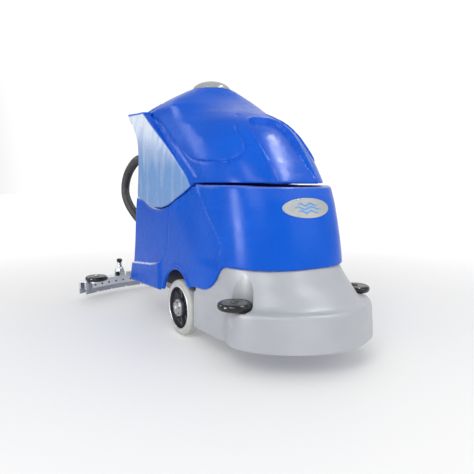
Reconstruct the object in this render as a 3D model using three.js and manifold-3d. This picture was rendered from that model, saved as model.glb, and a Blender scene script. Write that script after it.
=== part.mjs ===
// Walk-behind floor scrubber dryer: solution tank under a tilting recovery tank, a lifting brush head
// under a round deck, two main wheels, a rear castor and a trailing squeegee.
// Millimetres. The machine drives towards -Y, +Z is up and the operator's right is -X.
// Lengths along Y are measured from the main wheels' axle and the whole machine is shifted by ORIGIN_Y.
import * as THREE from "three";
import { mergeVertices } from "three/addons/utils/BufferGeometryUtils.js";
import Module from "manifold-3d";

const wasm = await Module();
wasm.setup();

// ---- driving dimensions ----
const ORIGIN_Y = -153.5;
const GAP = 0.4;
const WALL = 6;

const WHEEL_R = 112.5;
const WHEEL_W = 48;
const WHEEL_X = 241;
const AXLE_R = 10;

const SPLIT_GAP = 4;
const DECK_LOW = 80;
const DECK_LEDGE = 200;
const TANK_LOW = 322;
const BODY_TOP = 1014;

const BRUSH_Y = -430;
const BRUSH_R = 215;
const BRUSH_LIFT = 86;

const ROLLER_R = 58;
const ROLLER_H = 21;
const ROLLER_X = 267;
const ROLLER_Y = -440;
const ROLLER_Z = 204;

const CASTOR_Y = 385;
const CASTOR_R = 45;
const CASTOR_TRAIL = 32;
const PLATE_Z = 150;
const PLATE_T = 8;

const HINGE_Y = 506;
const HINGE_Z = 574;

const SQUEEGEE_CLEAR = 28;
const SQUEEGEE_R = 790;
const SQUEEGEE_Y = 928;
const SQUEEGEE_HALF = 31.5;
const CASTING_X = 196;
const END_X = 362;
const END_Y = 806;

const HANDLE_Y = 462;
const HANDLE_Z = 893;

// ---- materials ----
const paint = (color, roughness, metalness = 0) =>
  new THREE.MeshStandardMaterial({ color, roughness, metalness });
const blue = paint(0x1560d8, 0.35);
const grey = paint(0xc3c7cd, 0.45);
const pale = paint(0xd2d8d8, 0.3);
const black = paint(0x18181c, 0.4);
const rubber = paint(0x2b2b2e, 0.85);
const tyreWhite = paint(0xdedcd2, 0.7);
const steel = paint(0x8f9499, 0.4, 0.9);
const alloy = paint(0xaeb3b9, 0.4, 0.85);
const hoseGrey = paint(0x3c383b, 0.6);
const bristleBlue = paint(0x35507c, 0.9);

// ---- solids ----
function toManifold(geometry) {
  const bare = new THREE.BufferGeometry();
  bare.setAttribute("position", geometry.getAttribute("position"));
  if (geometry.index) bare.setIndex(geometry.index);
  const merged = mergeVertices(bare, 1e-4);
  const vertProperties = new Float32Array(merged.attributes.position.array);
  const triVerts = new Uint32Array(merged.index.array);
  const solid = new wasm.Manifold(new wasm.Mesh({ numProp: 3, vertProperties, triVerts }));
  if (solid.volume() > 0) return solid;
  triVerts.reverse();
  return new wasm.Manifold(new wasm.Mesh({ numProp: 3, vertProperties, triVerts }));
}

function toGeometry(manifold) {
  const mesh = manifold.getMesh();
  const position = new THREE.BufferAttribute(new Float32Array(mesh.vertProperties), 3);
  const geometry = new THREE.BufferGeometry();
  geometry.setAttribute("position", position);
  geometry.setIndex(new THREE.BufferAttribute(new Uint32Array(mesh.triVerts), 1));
  geometry.computeVertexNormals();
  return geometry;
}

const join = (first, ...others) => others.reduce((all, one) => all.add(one), first);
const cut = (first, ...others) => others.reduce((all, one) => all.subtract(one), first);

function box(low, high) {
  const size = high.map((value, i) => value - low[i]);
  const middle = high.map((value, i) => (value + low[i]) / 2);
  return toManifold(new THREE.BoxGeometry(...size).translate(...middle));
}

// A lathe solid: profile is [radius, height] pairs that start and end on the axis, or a closed ring.
function lathe(profile, segments, axis, at) {
  const points = profile.map(([radius, height]) => new THREE.Vector2(radius, height));
  const geometry = new THREE.LatheGeometry(points, segments);
  if (axis === "z") geometry.rotateX(Math.PI / 2);
  if (axis === "x") geometry.rotateZ(-Math.PI / 2);
  return toManifold(geometry.translate(...at));
}

function disc(radius, length, axis, at, segments = 24) {
  const half = length / 2;
  const profile = [[0, -half], [radius, -half], [radius, half], [0, half]];
  return lathe(profile, segments, axis, at);
}

function ring(outer, inner, length, axis, at, segments = 32) {
  const half = length / 2;
  const profile = [[inner, -half], [outer, -half], [outer, half], [inner, half], [inner, -half]];
  return lathe(profile, segments, axis, at);
}

// A plate whose outline lies in the YZ plane, from low to high in X.
function sidePlate(outline, low, high) {
  const shape = new THREE.Shape(outline.map(([y, z]) => new THREE.Vector2(y, z)));
  const geometry = new THREE.ExtrudeGeometry(shape, { depth: high - low, bevelEnabled: false });
  const turn = new THREE.Matrix4().makeBasis(
    new THREE.Vector3(0, 1, 0),
    new THREE.Vector3(0, 0, 1),
    new THREE.Vector3(1, 0, 0),
  );
  return toManifold(geometry.applyMatrix4(turn).translate(low, 0, 0));
}

// A plate whose outline lies in the XY plane, from low to high in Z.
function flatPlate(outline, low, high) {
  const shape = new THREE.Shape(outline.map(([x, y]) => new THREE.Vector2(x, y)));
  const geometry = new THREE.ExtrudeGeometry(shape, { depth: high - low, bevelEnabled: false });
  return toManifold(geometry.translate(0, 0, low));
}

function tube(points, radius, steps, sides) {
  const path = new THREE.CatmullRomCurve3(points.map((p) => new THREE.Vector3(...p)), false, "centripetal");
  const section = new THREE.Shape();
  for (let i = 0; i < sides; i += 1) {
    const angle = (i / sides) * 2 * Math.PI;
    const x = radius * Math.cos(angle);
    const y = radius * Math.sin(angle);
    if (i === 0) section.moveTo(x, y);
    else section.lineTo(x, y);
  }
  const options = { steps, extrudePath: path, bevelEnabled: false };
  return toManifold(new THREE.ExtrudeGeometry(section, options));
}

// A closed solid through horizontal rings that all have the same number of points.
function loft(rings) {
  const count = rings[0].length;
  const position = rings.flat(2);
  const index = [];
  for (let level = 0; level + 1 < rings.length; level += 1) {
    for (let i = 0; i < count; i += 1) {
      const a = level * count + i;
      const b = level * count + ((i + 1) % count);
      index.push(a, b, b + count, a, b + count, a + count);
    }
  }
  const cap = (ring, start, up) => {
    const middle = [0, 1, 2].map((k) => ring.reduce((sum, p) => sum + p[k], 0) / count);
    const centre = position.length / 3;
    position.push(...middle);
    for (let i = 0; i < count; i += 1) {
      const a = start + i;
      const b = start + ((i + 1) % count);
      if (up) index.push(centre, a, b);
      else index.push(centre, b, a);
    }
  };
  cap(rings[0], 0, false);
  cap(rings[rings.length - 1], (rings.length - 1) * count, true);
  const geometry = new THREE.BufferGeometry();
  geometry.setAttribute("position", new THREE.Float32BufferAttribute(position, 3));
  geometry.setIndex(index);
  return toManifold(geometry);
}

// ---- the shells' shape, also the base of the finished shells ----
// Rows of [height, then values]; between rows the values change evenly.
function between(rows, height) {
  const last = rows.length - 1;
  if (height <= rows[0][0]) return rows[0].slice(1);
  if (height >= rows[last][0]) return rows[last].slice(1);
  const next = rows.findIndex((row) => row[0] > height);
  const [low, high] = [rows[next - 1], rows[next]];
  const part = (height - low[0]) / (high[0] - low[0]);
  return low.slice(1).map((value, i) => value + part * (high[i + 1] - value));
}

// Half an outline from the nose (x = 0) round one side to the tail (x = 0). The front is a superellipse
// about (0, middle), the side runs straight back with side(y) as its half width, the tail corner is round.
function halfOutline({ half, front, middle, tail, corner, power, side, stops }) {
  const points = [];
  const FRONT_STEPS = 12;
  const CORNER_STEPS = 4;
  for (let i = 0; i <= FRONT_STEPS; i += 1) {
    const angle = (i / FRONT_STEPS) * (Math.PI / 2);
    const x = half * Math.sin(angle) ** (2 / power);
    const y = middle - (middle - front) * Math.cos(angle) ** (2 / power);
    points.push([x, y]);
  }
  const end = tail - corner;
  for (const part of stops) {
    const y = middle + (end - middle) * part;
    points.push([side(y), y]);
  }
  const edge = side(end) - corner;
  for (let i = 1; i <= CORNER_STEPS; i += 1) {
    const angle = (i / CORNER_STEPS) * (Math.PI / 2);
    points.push([edge + corner * Math.cos(angle), end + corner * Math.sin(angle)]);
  }
  points.push([edge / 2, tail]);
  points.push([0, tail]);
  return points;
}

// The whole outline as a ring at one height, anticlockwise seen from above, moved in by inset.
const EVEN_STOPS = [1, 2, 3, 4, 5, 6, 7, 8].map((step) => step / 8);
function ringAt(shape, z, inset = 0) {
  const half = halfOutline({
    stops: EVEN_STOPS,
    ...shape,
    half: shape.half - inset,
    front: shape.front + inset,
    tail: shape.tail - inset,
    side: shape.side ? (y) => shape.side(y) - inset : () => shape.half - inset,
  });
  const right = half.map(([x, y]) => [x, y, z]);
  const left = half.slice(1, -1).reverse().map(([x, y]) => [-x, y, z]);
  return right.concat(left);
}

// [height, half width, front, middle, tail]
const LOWER_ROWS = [
  [138, 266, -532, -200, 576],
  [235, 263, -528, -200, 540],
  [250, 256, -526, -200, 522],
  [322, 254, -522, -200, 522],
  [526, 248, -482, -200, 505],
  [590, 244, -459, -200, 478],
  [612, 238, -449, -200, 462],
];
const UPPER_ROWS = [
  [500, 236, -452, -100, 452],
  [606, 236, -442, -100, 452],
  [660, 233, -405, -90, 452],
  [706, 230, -371, -70, 452],
  [779, 224, -311, 0, 452],
  [835, 217, -247, 80, 452],
  [880, 214, -152, 140, 470],
  [910, 214, -74, 162, 510],
  [928, 216, -30, 175, 540],
  [932, 214, -20, 178, 474],
  [950, 202, 14, 184, 446],
  [966, 186, 40, 188, 408],
  [982, 162, 60, 190, 366],
  [998, 132, 78, 190, 326],
  [BODY_TOP, 102, 96, 190, 286],
];
// The wing's front edge and the tail edge of the wings, as [height, y].
const WING_FRONT = [[500, -120], [625, -49], [698, 45], [758, 133], [838, 260], [928, 400]];
const WING_TAIL = [[500, 452], [740, 424], [792, 430], [861, 462], [910, 520], [928, 546]];
const WING_NEAR = 239;
const WING_X = 264;
const WING_RAMP = 18;
// Above the wings the tail's corners are this much of the half width.
const DOME_CORNER = 0.72;

function lowerShape(z) {
  const [half, front, middle, tail] = between(LOWER_ROWS, z);
  return { half, front, middle, tail, corner: 45, power: 2.4 };
}

function upperShape(z) {
  const [half, front, middle] = between(UPPER_ROWS, z);
  let tail = between(UPPER_ROWS, z)[3];
  const winged = z < 930;
  if (winged) tail = between(WING_TAIL, z)[0];
  const plain = { half, front, middle, tail, power: z < 800 ? 2.4 : 2.1 };
  if (!winged) return { ...plain, corner: DOME_CORNER * half };
  const corner = 14;
  const start = Math.max(between(WING_FRONT, z)[0], middle + 10);
  const edge = start + WING_RAMP;
  const side = (y) => {
    if (y <= start) return half;
    if (y < edge) return half + ((WING_NEAR - half) * (y - start)) / WING_RAMP;
    return WING_NEAR + ((WING_X - WING_NEAR) * (y - edge)) / (tail - edge);
  };
  const length = tail - corner - middle;
  const first = (start - middle) / length;
  const second = (edge - middle) / length;
  const stops = [
    first / 3, (2 * first) / 3, first, second,
    ...[1, 2, 3, 4].map((step) => second + ((1 - second) * step) / 4),
  ];
  return { ...plain, corner, side, stops };
}

// The parting line between the tanks, as [y, z].
const SPLIT = [
  [-700, 607], [-100, 612], [-79, 608], [48, 552], [141, 518],
  [222, 505], [309, 515], [410, 544], [700, 560],
];
const splitLine = (shift) => SPLIT.map(([y, z]) => [y, z + shift]);

// Under edge of the blue lower body, as [y, z]: raised nose, tongue, wheel arch, tail skirt.
const ARCH = { y: 30, z: 124, r: 142 };
function lowerEdge() {
  const nose = [[-700, TANK_LOW], [-330, TANK_LOW], [-305, 300], [-285, 272], [-262, 248], [-222, 231]];
  const arch = [];
  for (let angle = 145; angle >= 15; angle -= 10) {
    const turn = THREE.MathUtils.degToRad(angle);
    arch.push([ARCH.y + ARCH.r * Math.cos(turn), ARCH.z + ARCH.r * Math.sin(turn)]);
  }
  const skirt = [[190, 160], [700, 142]];
  return nose.concat(arch, skirt);
}

function circle(x, y, z, radius, count = 24) {
  const points = [];
  for (let i = 0; i < count; i += 1) {
    const angle = (i / count) * 2 * Math.PI;
    points.push([x + radius * Math.cos(angle), y + radius * Math.sin(angle), z]);
  }
  return points;
}

const levels = (list, shapeAt, inset) => loft(list.map((z) => ringAt(shapeAt(z), z, inset)));

// ---- scene graph ----
const machine = new THREE.Group();
const shifted = new THREE.Group();
shifted.position.y = ORIGIN_Y;
machine.add(shifted);

function place(name, solid, material) {
  const mesh = new THREE.Mesh(toGeometry(solid), material);
  mesh.name = name;
  shifted.add(mesh);
}

const SIDES = [["right", -1], ["left", 1]];

// ---- lower body: solution tank at the front, open battery bay at the back ----
const BAY = { x: 182, front: 92, back: 430 };
const FILLER = { x: 0, y: -330, r: 52 };
const TANK_LEVELS = [120, 235, 250, TANK_LOW, 420, 526, 590, 640];

function solutionTank() {
  const outer = levels(TANK_LEVELS, lowerShape, 0);
  const above = sidePlate([...splitLine(-SPLIT_GAP), [700, 900], [-700, 900]], -400, 400);
  const below = sidePlate([...lowerEdge(), [700, 0], [-700, 0]], -400, 400);
  const under = levels([100, 235, 250, TANK_LOW], lowerShape, 10);
  const behind = box([-400, BAY.front - 6, 0], [400, 900, 900]);
  const bayWalls = box([-BAY.x - WALL, 0, 0], [BAY.x + WALL, BAY.back + WALL, 900]);
  const rearHollow = cut(levels([300, 322, 420, 526, 590], lowerShape, 9).intersect(behind), bayWalls);
  const cavity = levels([330, 420, 526, 578], lowerShape, WALL + 2);
  const frontOnly = box([-400, -700, 0], [400, BAY.front - 14, 900]);
  const topSkin = sidePlate([...splitLine(-SPLIT_GAP - 8), [700, 0], [-700, 0]], -400, 400);
  const bay = box([-BAY.x, BAY.front, 100], [BAY.x, BAY.back, 900]);
  const filler = disc(FILLER.r, 90, "z", [FILLER.x, FILLER.y, 590], 28);
  const inside = cavity.intersect(frontOnly).intersect(topSkin);
  const openRear = rearHollow.intersect(topSkin);
  return cut(outer, above, below, under, inside, openRear, bay, filler);
}
place("solution_tank", solutionTank(), blue);

// ---- upper body: recovery tank with the wings, and a service bay open to the back ----
const LID = { y: 194, mouth: 68, r: 85 };
const BULKHEAD_Y = 262;
const TAIL_Y = 404;
const COCKPIT_X = 214;

function recoveryTank() {
  const outer = levels(
    [470, 606, 660, 706, 779, 835, 880, 910, 928, 932, 950, 966, 982, 998, BODY_TOP],
    upperShape, 0,
  );
  const below = sidePlate([...splitLine(0), [700, 0], [-700, 0]], -400, 400);
  const cavity = levels([520, 606, 660, 706, 779, 835, 880, 910, 926, 970, 1000], (z) => {
    const shape = upperShape(z < 928 ? z : Math.max(z, 932));
    const tail = Math.min(shape.tail, BULKHEAD_Y);
    return { ...shape, tail, side: undefined, stops: EVEN_STOPS, corner: 40 };
  }, WALL + 1);
  const floor = sidePlate([...splitLine(WALL + 2), [700, 1200], [-700, 1200]], -400, 400);
  const cockpit = sidePlate(
    [[392, 1000], [392, 800], [440, 760], [700, 760], [700, 1000]],
    -COCKPIT_X, COCKPIT_X,
  );
  const bay = sidePlate(
    [[282, 575], [700, 590], [700, 730], [424, 730], [376, 770], [376, 880], [318, 880], [282, 840]],
    -COCKPIT_X + 8, COCKPIT_X - 8,
  );
  const tailCut = join(
    box([-COCKPIT_X, TAIL_Y, 590], [COCKPIT_X, 700, 775]),
    box([-COCKPIT_X, 450, 400], [COCKPIT_X, 700, 600]),
  );
  const mouth = disc(LID.mouth, 80, "z", [0, LID.y, BODY_TOP]);
  return cut(outer, below, cavity.intersect(floor), cockpit, bay, tailCut, mouth);
}
place("recovery_tank", recoveryTank(), blue);

const domeProfile = [
  [0, 1016], [LID.r, 1016], [LID.r, 1020], [78, 1029], [66, 1040], [46, 1050.5], [24, 1056.5], [0, 1058],
];
const domeHollow = lathe(
  [[0, 1010], [56, 1010], [56, 1026], [40, 1042], [0, 1050]],
  32, "z", [0, LID.y, 0],
);
place("tank_lid", cut(lathe(domeProfile, 32, "z", [0, LID.y, 0]), domeHollow), pale);

// ---- service bay ----
const motorAt = [52, 338];
place("vacuum_motor", join(
  disc(52, 128, "z", [...motorAt, 660]),
  disc(44, 24, "z", [...motorAt, 735]),
), steel);

const CUFF = { x: -130, z: 700 };
place("rear_cover", cut(
  box([-COCKPIT_X + 9, TAIL_Y - 7, 592], [COCKPIT_X - 9, TAIL_Y - 1, 728]),
  disc(29, 40, "y", [CUFF.x, TAIL_Y, CUFF.z]),
), blue);
place("hose_cuff", ring(27, 21, 132, "y", [CUFF.x, 359, CUFF.z], 24), black);
place("float_cage", cut(
  disc(30, 120, "z", [0, LID.y, 900], 20),
  disc(26, 118, "z", [0, LID.y, 904], 20),
  box([-12, LID.y - 40, 850], [12, LID.y + 40, 950]),
), pale);

// ---- control panel, handle and controls, all between the wings ----
const PANEL = { y: 392 + GAP, t: 5, low: 800, high: 902 };
const FACE_Y = PANEL.y + PANEL.t;
const SWITCHES = [["brush_switch", -70], ["vacuum_switch", -30]];
const SWITCH = { w: 24, h: 36, z: 850, y: FACE_Y + 4 };
const TRIGGER = { y: 426, z: 866, lug: 160, arm: 148, reach: 36, drop: 24 };
const WATER = { x: 96, z: 852 };
const KEY = { x: 30, z: 852 };

function controlPanel() {
  const profile = [
    [PANEL.y, PANEL.low + 1], [440, 761], [446, 765], [FACE_Y, PANEL.low + 6],
    [FACE_Y, PANEL.high], [PANEL.y, PANEL.high],
  ];
  const plate = sidePlate(profile, -COCKPIT_X + 2, COCKPIT_X - 2);
  const lugs = SIDES.map(([, side]) => {
    const low = side > 0 ? TRIGGER.lug : -TRIGGER.lug - 10;
    const lug = box([low, PANEL.y + 1, TRIGGER.z - 9], [low + 10, TRIGGER.y + 9, TRIGGER.z + 9]);
    return cut(lug, disc(4, 60, "x", [side * TRIGGER.lug, TRIGGER.y, TRIGGER.z], 16));
  });
  const holes = SWITCHES.map(([, x]) => box(
    [x - SWITCH.w / 2 - 1.5, PANEL.y - 5, SWITCH.z - SWITCH.h / 2 - 1.5],
    [x + SWITCH.w / 2 + 1.5, FACE_Y + 5, SWITCH.z + SWITCH.h / 2 + 1.5],
  ));
  return cut(join(plate, ...lugs), ...holes);
}
place("control_panel", controlPanel(), black);

for (const [name, x] of SWITCHES) {
  const [y, z] = [SWITCH.y, SWITCH.z];
  const side = [
    [y - 5, z - 17], [y + 4, z - 18], [y + 1.5, z], [y + 4, z + 18], [y - 5, z + 17],
  ];
  place(name, sidePlate(side, x - SWITCH.w / 2, x + SWITCH.w / 2), rubber);
}

place("key_switch", join(
  disc(13, 8, "y", [KEY.x, FACE_Y + 4.4, KEY.z], 20),
  box([KEY.x - 2, FACE_Y + 6, KEY.z - 10], [KEY.x + 2, FACE_Y + 32, KEY.z + 10]),
), steel);

place("water_lever", join(
  disc(14, 12, "y", [WATER.x, FACE_Y + 6.4, WATER.z], 20),
  box([WATER.x - 5, FACE_Y + 3, WATER.z - 42], [WATER.x + 5, FACE_Y + 12, WATER.z]),
), black);

place("handle_bar", join(
  disc(14, 2 * COCKPIT_X - 1, "x", [0, HANDLE_Y, HANDLE_Z]),
  ...SIDES.map(([, side]) => disc(24, 5, "x", [side * (COCKPIT_X - 3), HANDLE_Y, HANDLE_Z])),
), steel);
for (const [name, side] of SIDES) {
  const at = [side * 100, HANDLE_Y, HANDLE_Z];
  place("grip_" + name, ring(18, 14 + GAP, 140, "x", at, 20), rubber);
}

function triggerBar() {
  const y = TRIGGER.y + TRIGGER.reach;
  const z = TRIGGER.z - TRIGGER.drop;
  const arms = SIDES.map(([, side]) => {
    const low = side > 0 ? TRIGGER.arm : -TRIGGER.arm - 8;
    const outline = [
      [TRIGGER.y - 7, TRIGGER.z - 3], [TRIGGER.y + 2, TRIGGER.z + 7],
      [TRIGGER.y + 9, TRIGGER.z + 3], [y + 6, z + 3], [y - 3, z - 7],
    ];
    const pinAt = [side * (TRIGGER.lug + 2), TRIGGER.y, TRIGGER.z];
    return join(sidePlate(outline, low, low + 8), disc(3.6, 14, "x", pinAt, 16));
  });
  return join(disc(6, 2 * TRIGGER.arm + 4, "x", [0, y, z], 16), ...arms);
}
place("trigger_bar", triggerBar(), black);

// ---- tank hinge ----
const inflatedTank = levels(TANK_LEVELS, lowerShape, -GAP);
const splitTop = sidePlate([...splitLine(-SPLIT_GAP + GAP), [700, 900], [-700, 900]], -400, 400);
const tankKeepOut = cut(inflatedTank, splitTop);
const offTank = (solid) => cut(solid, tankKeepOut);

place("tank_hinge_lower", offTank(join(
  ...[[-60, -40], [40, 60]].map(([low, high]) => sidePlate(
    [[470, 500], [520, 500], [516, 583], [497, 583], [470, 545]], low, high,
  )),
  box([-60, 495, 500], [60, 520, 530]),
  disc(4, 118, "x", [0, HINGE_Y, HINGE_Z], 16),
)), steel);
place("tank_hinge_upper", cut(
  join(
    box([-38, 408, 590.4], [38, 454, 596]),
    sidePlate([[450, 596], [450, 590.4], [498, 565], [513, 565], [515, 580], [506, 585]], -38, 38),
  ),
  disc(4.4, 118, "x", [0, HINGE_Y, HINGE_Z], 16),
), steel);

// ---- chassis ----
const BATTERY = { x: 174, front: BAY.front + 6, back: BAY.back - 6, top: 372 };
place("battery_pack", join(
  box([-BATTERY.x, BATTERY.front, PLATE_Z + PLATE_T + 1], [BATTERY.x, BATTERY.back, BATTERY.top]),
  ...[-132, -44, 44, 132].map((x) => disc(9, 18, "z", [x, BATTERY.back - 30, BATTERY.top + 7], 16)),
), rubber);

// The chassis weldment: plate, side gussets with the axle's bearings, and the brush head's guide rods.
const ROD = { x: 70, y: -192 };
function headGuide() {
  return join(
    box([-92, -172, 88], [92, -150, 300]),
    box([-92, -206, 88], [92, -164, 97]),
    box([-92, -206, 291], [92, -164, 300]),
    ...SIDES.map(([, side]) => disc(8, 204, "z", [side * ROD.x, ROD.y, 194], 16)),
  );
}

function chassisPlate() {
  const plate = box([-176, -160, PLATE_Z], [176, 440, PLATE_Z + PLATE_T]);
  const gusset = [
    [-26, 95], [26, 95], [60, 104], [400, 142], [400, 152], [-140, 152], [-140, 142], [-60, 110],
  ];
  const gussets = SIDES.map(([, side]) => {
    const low = side > 0 ? 156 : -176;
    return sidePlate(gusset, low, low + 20);
  });
  const axleHole = disc(AXLE_R + GAP, 400, "x", [0, 0, WHEEL_R]);
  const pinHole = disc(8.4, 60, "z", [0, CASTOR_Y, PLATE_Z]);
  return cut(join(plate, ...gussets, headGuide()), axleHole, pinHole);
}
place("chassis_plate", chassisPlate(), steel);
place("axle", disc(AXLE_R, 2 * (WHEEL_X + 20), "x", [0, 0, WHEEL_R]), steel);

const ARM_PIVOT = { y: 500, z: 128 };
place("squeegee_bracket", cut(
  join(
    box([-70, 440 + GAP, 112], [70, 450, 158]),
    box([-48, 445, 112], [-40, 516, 146]),
    box([40, 445, 112], [48, 516, 146]),
  ),
  disc(6.4, 120, "x", [0, ARM_PIVOT.y, ARM_PIVOT.z], 16),
), steel);

// ---- grey base cover over the brush ----
// [height, half width, nose, middle, half width behind the deck, power]
const BASE_ROWS = [
  [DECK_LOW, 290, -681, -452, 262, 1.75],
  [188, 283, -671, -452, 261, 1.75],
  [DECK_LEDGE, 276, -664, -450, 257, 1.78],
  [206, 262, -640, -430, 254, 1.8],
  [225, 257, -615, -400, 253, 1.9],
  [252, 252, -588, -340, 250, 2.1],
  [TANK_LOW - GAP, 247, -517, -200, 246, 2.4],
];
// The pillars between the deck's rollers and the tank lean in as they rise: [height, x, y, radius].
const PILLAR_ROWS = [[180, 214, -416, 40], [240, 213, -407, 35], [290, 205, -393, 31], [321, 194, -380, 29]];
const BASE_TAIL = -124;
const WAIST = 110;

function baseShape(z) {
  const [half, front, middle, waist, power] = between(BASE_ROWS, z);
  const side = (y) => {
    const part = THREE.MathUtils.clamp((y - middle) / WAIST, 0, 1);
    return waist + (half - waist) * (1 - part * part * (3 - 2 * part));
  };
  return { half, front, middle, tail: BASE_TAIL, corner: 12, power, side };
}

function baseCover() {
  const heights = [DECK_LOW, 188, DECK_LEDGE, 206, 225, 252, 285, TANK_LOW - GAP];
  const shell = levels(heights, baseShape, 0);
  const bosses = SIDES.map(([, side]) => join(
    loft(PILLAR_ROWS.map(([z, x, y, r]) => circle(side * x, y, z, r))),
    disc(24, 56, "z", [side * ROLLER_X, ROLLER_Y, 172]),
  ));
  const hollow = join(
    levels([60, 188, DECK_LEDGE, 206], baseShape, WALL),
    levels([190, 206, 225, 252, 285, 313], baseShape, 2 * WALL + 2),
  );
  const aboveEdge = lowerEdge().map(([y, z]) => [y, z - 1]);
  const tongues = cut(
    levels([200, 235, 250, 325], lowerShape, -1),
    levels([190, 235, 250, 330], lowerShape, 10.6),
  ).intersect(sidePlate([...aboveEdge, [700, 321.8], [-700, 321.8]], -400, 400));
  const kept = SIDES.map(([, side]) => join(
    disc(ROLLER_R + 9, 44, "z", [side * ROLLER_X, ROLLER_Y, 214]),
    disc(30, 60, "z", [side * ROLLER_X, ROLLER_Y, 176]),
  ));
  const slots = SIDES.map(([, side]) => join(
    disc(ROLLER_R + 3, 27, "z", [side * ROLLER_X, ROLLER_Y, 215], 40),
    disc(8.4, 120, "z", [side * ROLLER_X, ROLLER_Y, 205], 16),
  ));
  const back = box([-182, -160, 40], [182, 0, 308]);
  return cut(join(shell, ...bosses), cut(hollow, ...kept), ...slots, tongues, back);
}
place("base_cover", baseCover(), grey);

function roller(x, y, z) {
  const ringProfile = [
    [8.6, 0], [44, 0], [52, 3], [ROLLER_R - 1, 8], [ROLLER_R, 11], [ROLLER_R - 2, 16],
    [ROLLER_R - 8, 20], [42, ROLLER_H], [24, ROLLER_H - 2], [8.6, ROLLER_H - 2], [8.6, 0],
  ];
  return lathe(ringProfile, 28, "z", [x, y, z]);
}
for (const [name, side] of SIDES) {
  const at = [side * ROLLER_X, ROLLER_Y];
  place("bumper_bolt_" + name, join(
    disc(8, 72, "z", [...at, 194], 16),
    lathe([[0, 224], [13, 224], [11, 231], [0, 232]], 16, "z", [...at, 0]),
  ), steel);
  place("bumper_roller_" + name, roller(...at, ROLLER_Z), black);
}

// ---- brush head: rides down two guide rods ----
const BRUSH_LOW = BRUSH_LIFT + 2;
const DRIVER_LOW = BRUSH_LOW + 30;
const HEAD_Z = 200;
place("head_arm", cut(
  join(
    disc(84, 6, "z", [0, BRUSH_Y, HEAD_Z + 3], 28),
    box([-84, BRUSH_Y, HEAD_Z], [84, ROD.y + 12, HEAD_Z + 6]),
    ...SIDES.map(([, side]) => disc(15, 34, "z", [side * ROD.x, ROD.y, HEAD_Z + 6], 16)),
  ),
  ...SIDES.map(([, side]) => disc(8.6, 60, "z", [side * ROD.x, ROD.y, HEAD_Z], 16)),
), steel);
place("gearbox", join(
  disc(60, HEAD_Z - 156 - GAP, "z", [0, BRUSH_Y, (HEAD_Z + 156) / 2 - GAP / 2]),
  disc(12, 40, "z", [0, BRUSH_Y, 142], 16),
), alloy);
place("brush_motor", join(
  disc(60, 80, "z", [0, BRUSH_Y, HEAD_Z + 46.4]),
  disc(46, 16, "z", [0, BRUSH_Y, HEAD_Z + 94]),
), steel);
place("brush_driver", join(
  ring(205, 12.5, 12, "z", [0, BRUSH_Y, DRIVER_LOW + 6 + GAP], 40),
  ring(40, 12.5, 30, "z", [0, BRUSH_Y, DRIVER_LOW + 16 + GAP], 24),
), black);
place("brush_bristles", ring(BRUSH_R, 90, 30, "z", [0, BRUSH_Y, BRUSH_LOW + 15], 40), bristleBlue);

// ---- wheels ----
for (const [name, side] of SIDES) {
  const at = [side * WHEEL_X, 0, WHEEL_R];
  const out = (profile) => profile.map(([radius, along]) => [radius, side * along]);
  const half = WHEEL_W / 2;
  place("tyre_" + name, lathe(out([
    [84.4, -half], [103, -half], [109, -half + 4], [WHEEL_R, -half + 12], [WHEEL_R, half - 12],
    [109, half - 4], [103, half], [84.4, half], [84.4, -half],
  ]), 40, "x", at), tyreWhite);
  place("rim_" + name, lathe(out([
    [10.5, -20], [26, -20], [26, -6], [70, -5], [74, -20], [84, -20], [84, 21], [77, 21],
    [72, 5], [32, 2], [25, 19.6], [10.5, 19.6], [10.5, -20],
  ]), 32, "x", at), black);
  place("hub_cap_" + name, lathe(out([
    [0, 20.4], [24, 20.4], [23, 30], [19, 36], [13, 39], [0, 39],
  ]), 28, "x", at), alloy);
}

// ---- swivel castor ----
place("castor_fork", join(
  disc(8, 20, "z", [0, CASTOR_Y, 148.5], 16),
  disc(28, 16, "z", [0, CASTOR_Y, 133]),
  ...[-24, 19].map((x) => sidePlate([
    [CASTOR_Y - 22, 128], [CASTOR_Y + 22, 128], [CASTOR_Y + CASTOR_TRAIL + 12, 50],
    [CASTOR_Y + CASTOR_TRAIL + 8, 34], [CASTOR_Y + CASTOR_TRAIL - 8, 34],
    [CASTOR_Y + CASTOR_TRAIL - 14, 50],
  ], x, x + 5)),
  disc(5, 44, "x", [0, CASTOR_Y + CASTOR_TRAIL, CASTOR_R], 16),
), steel);
const castorAt = [0, CASTOR_Y + CASTOR_TRAIL, CASTOR_R];
place("castor_wheel", lathe([
  [5.4, -16], [38, -14], [CASTOR_R, -9], [CASTOR_R, 9], [38, 14], [5.4, 16], [5.4, -16],
], 32, "x", castorAt), rubber);

// ---- squeegee: an arc in plan that trails in the middle ----
const ARC_Y = SQUEEGEE_Y - SQUEEGEE_R;
const arcY = (x, radius) => ARC_Y + Math.sqrt(radius * radius - x * x);

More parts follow.
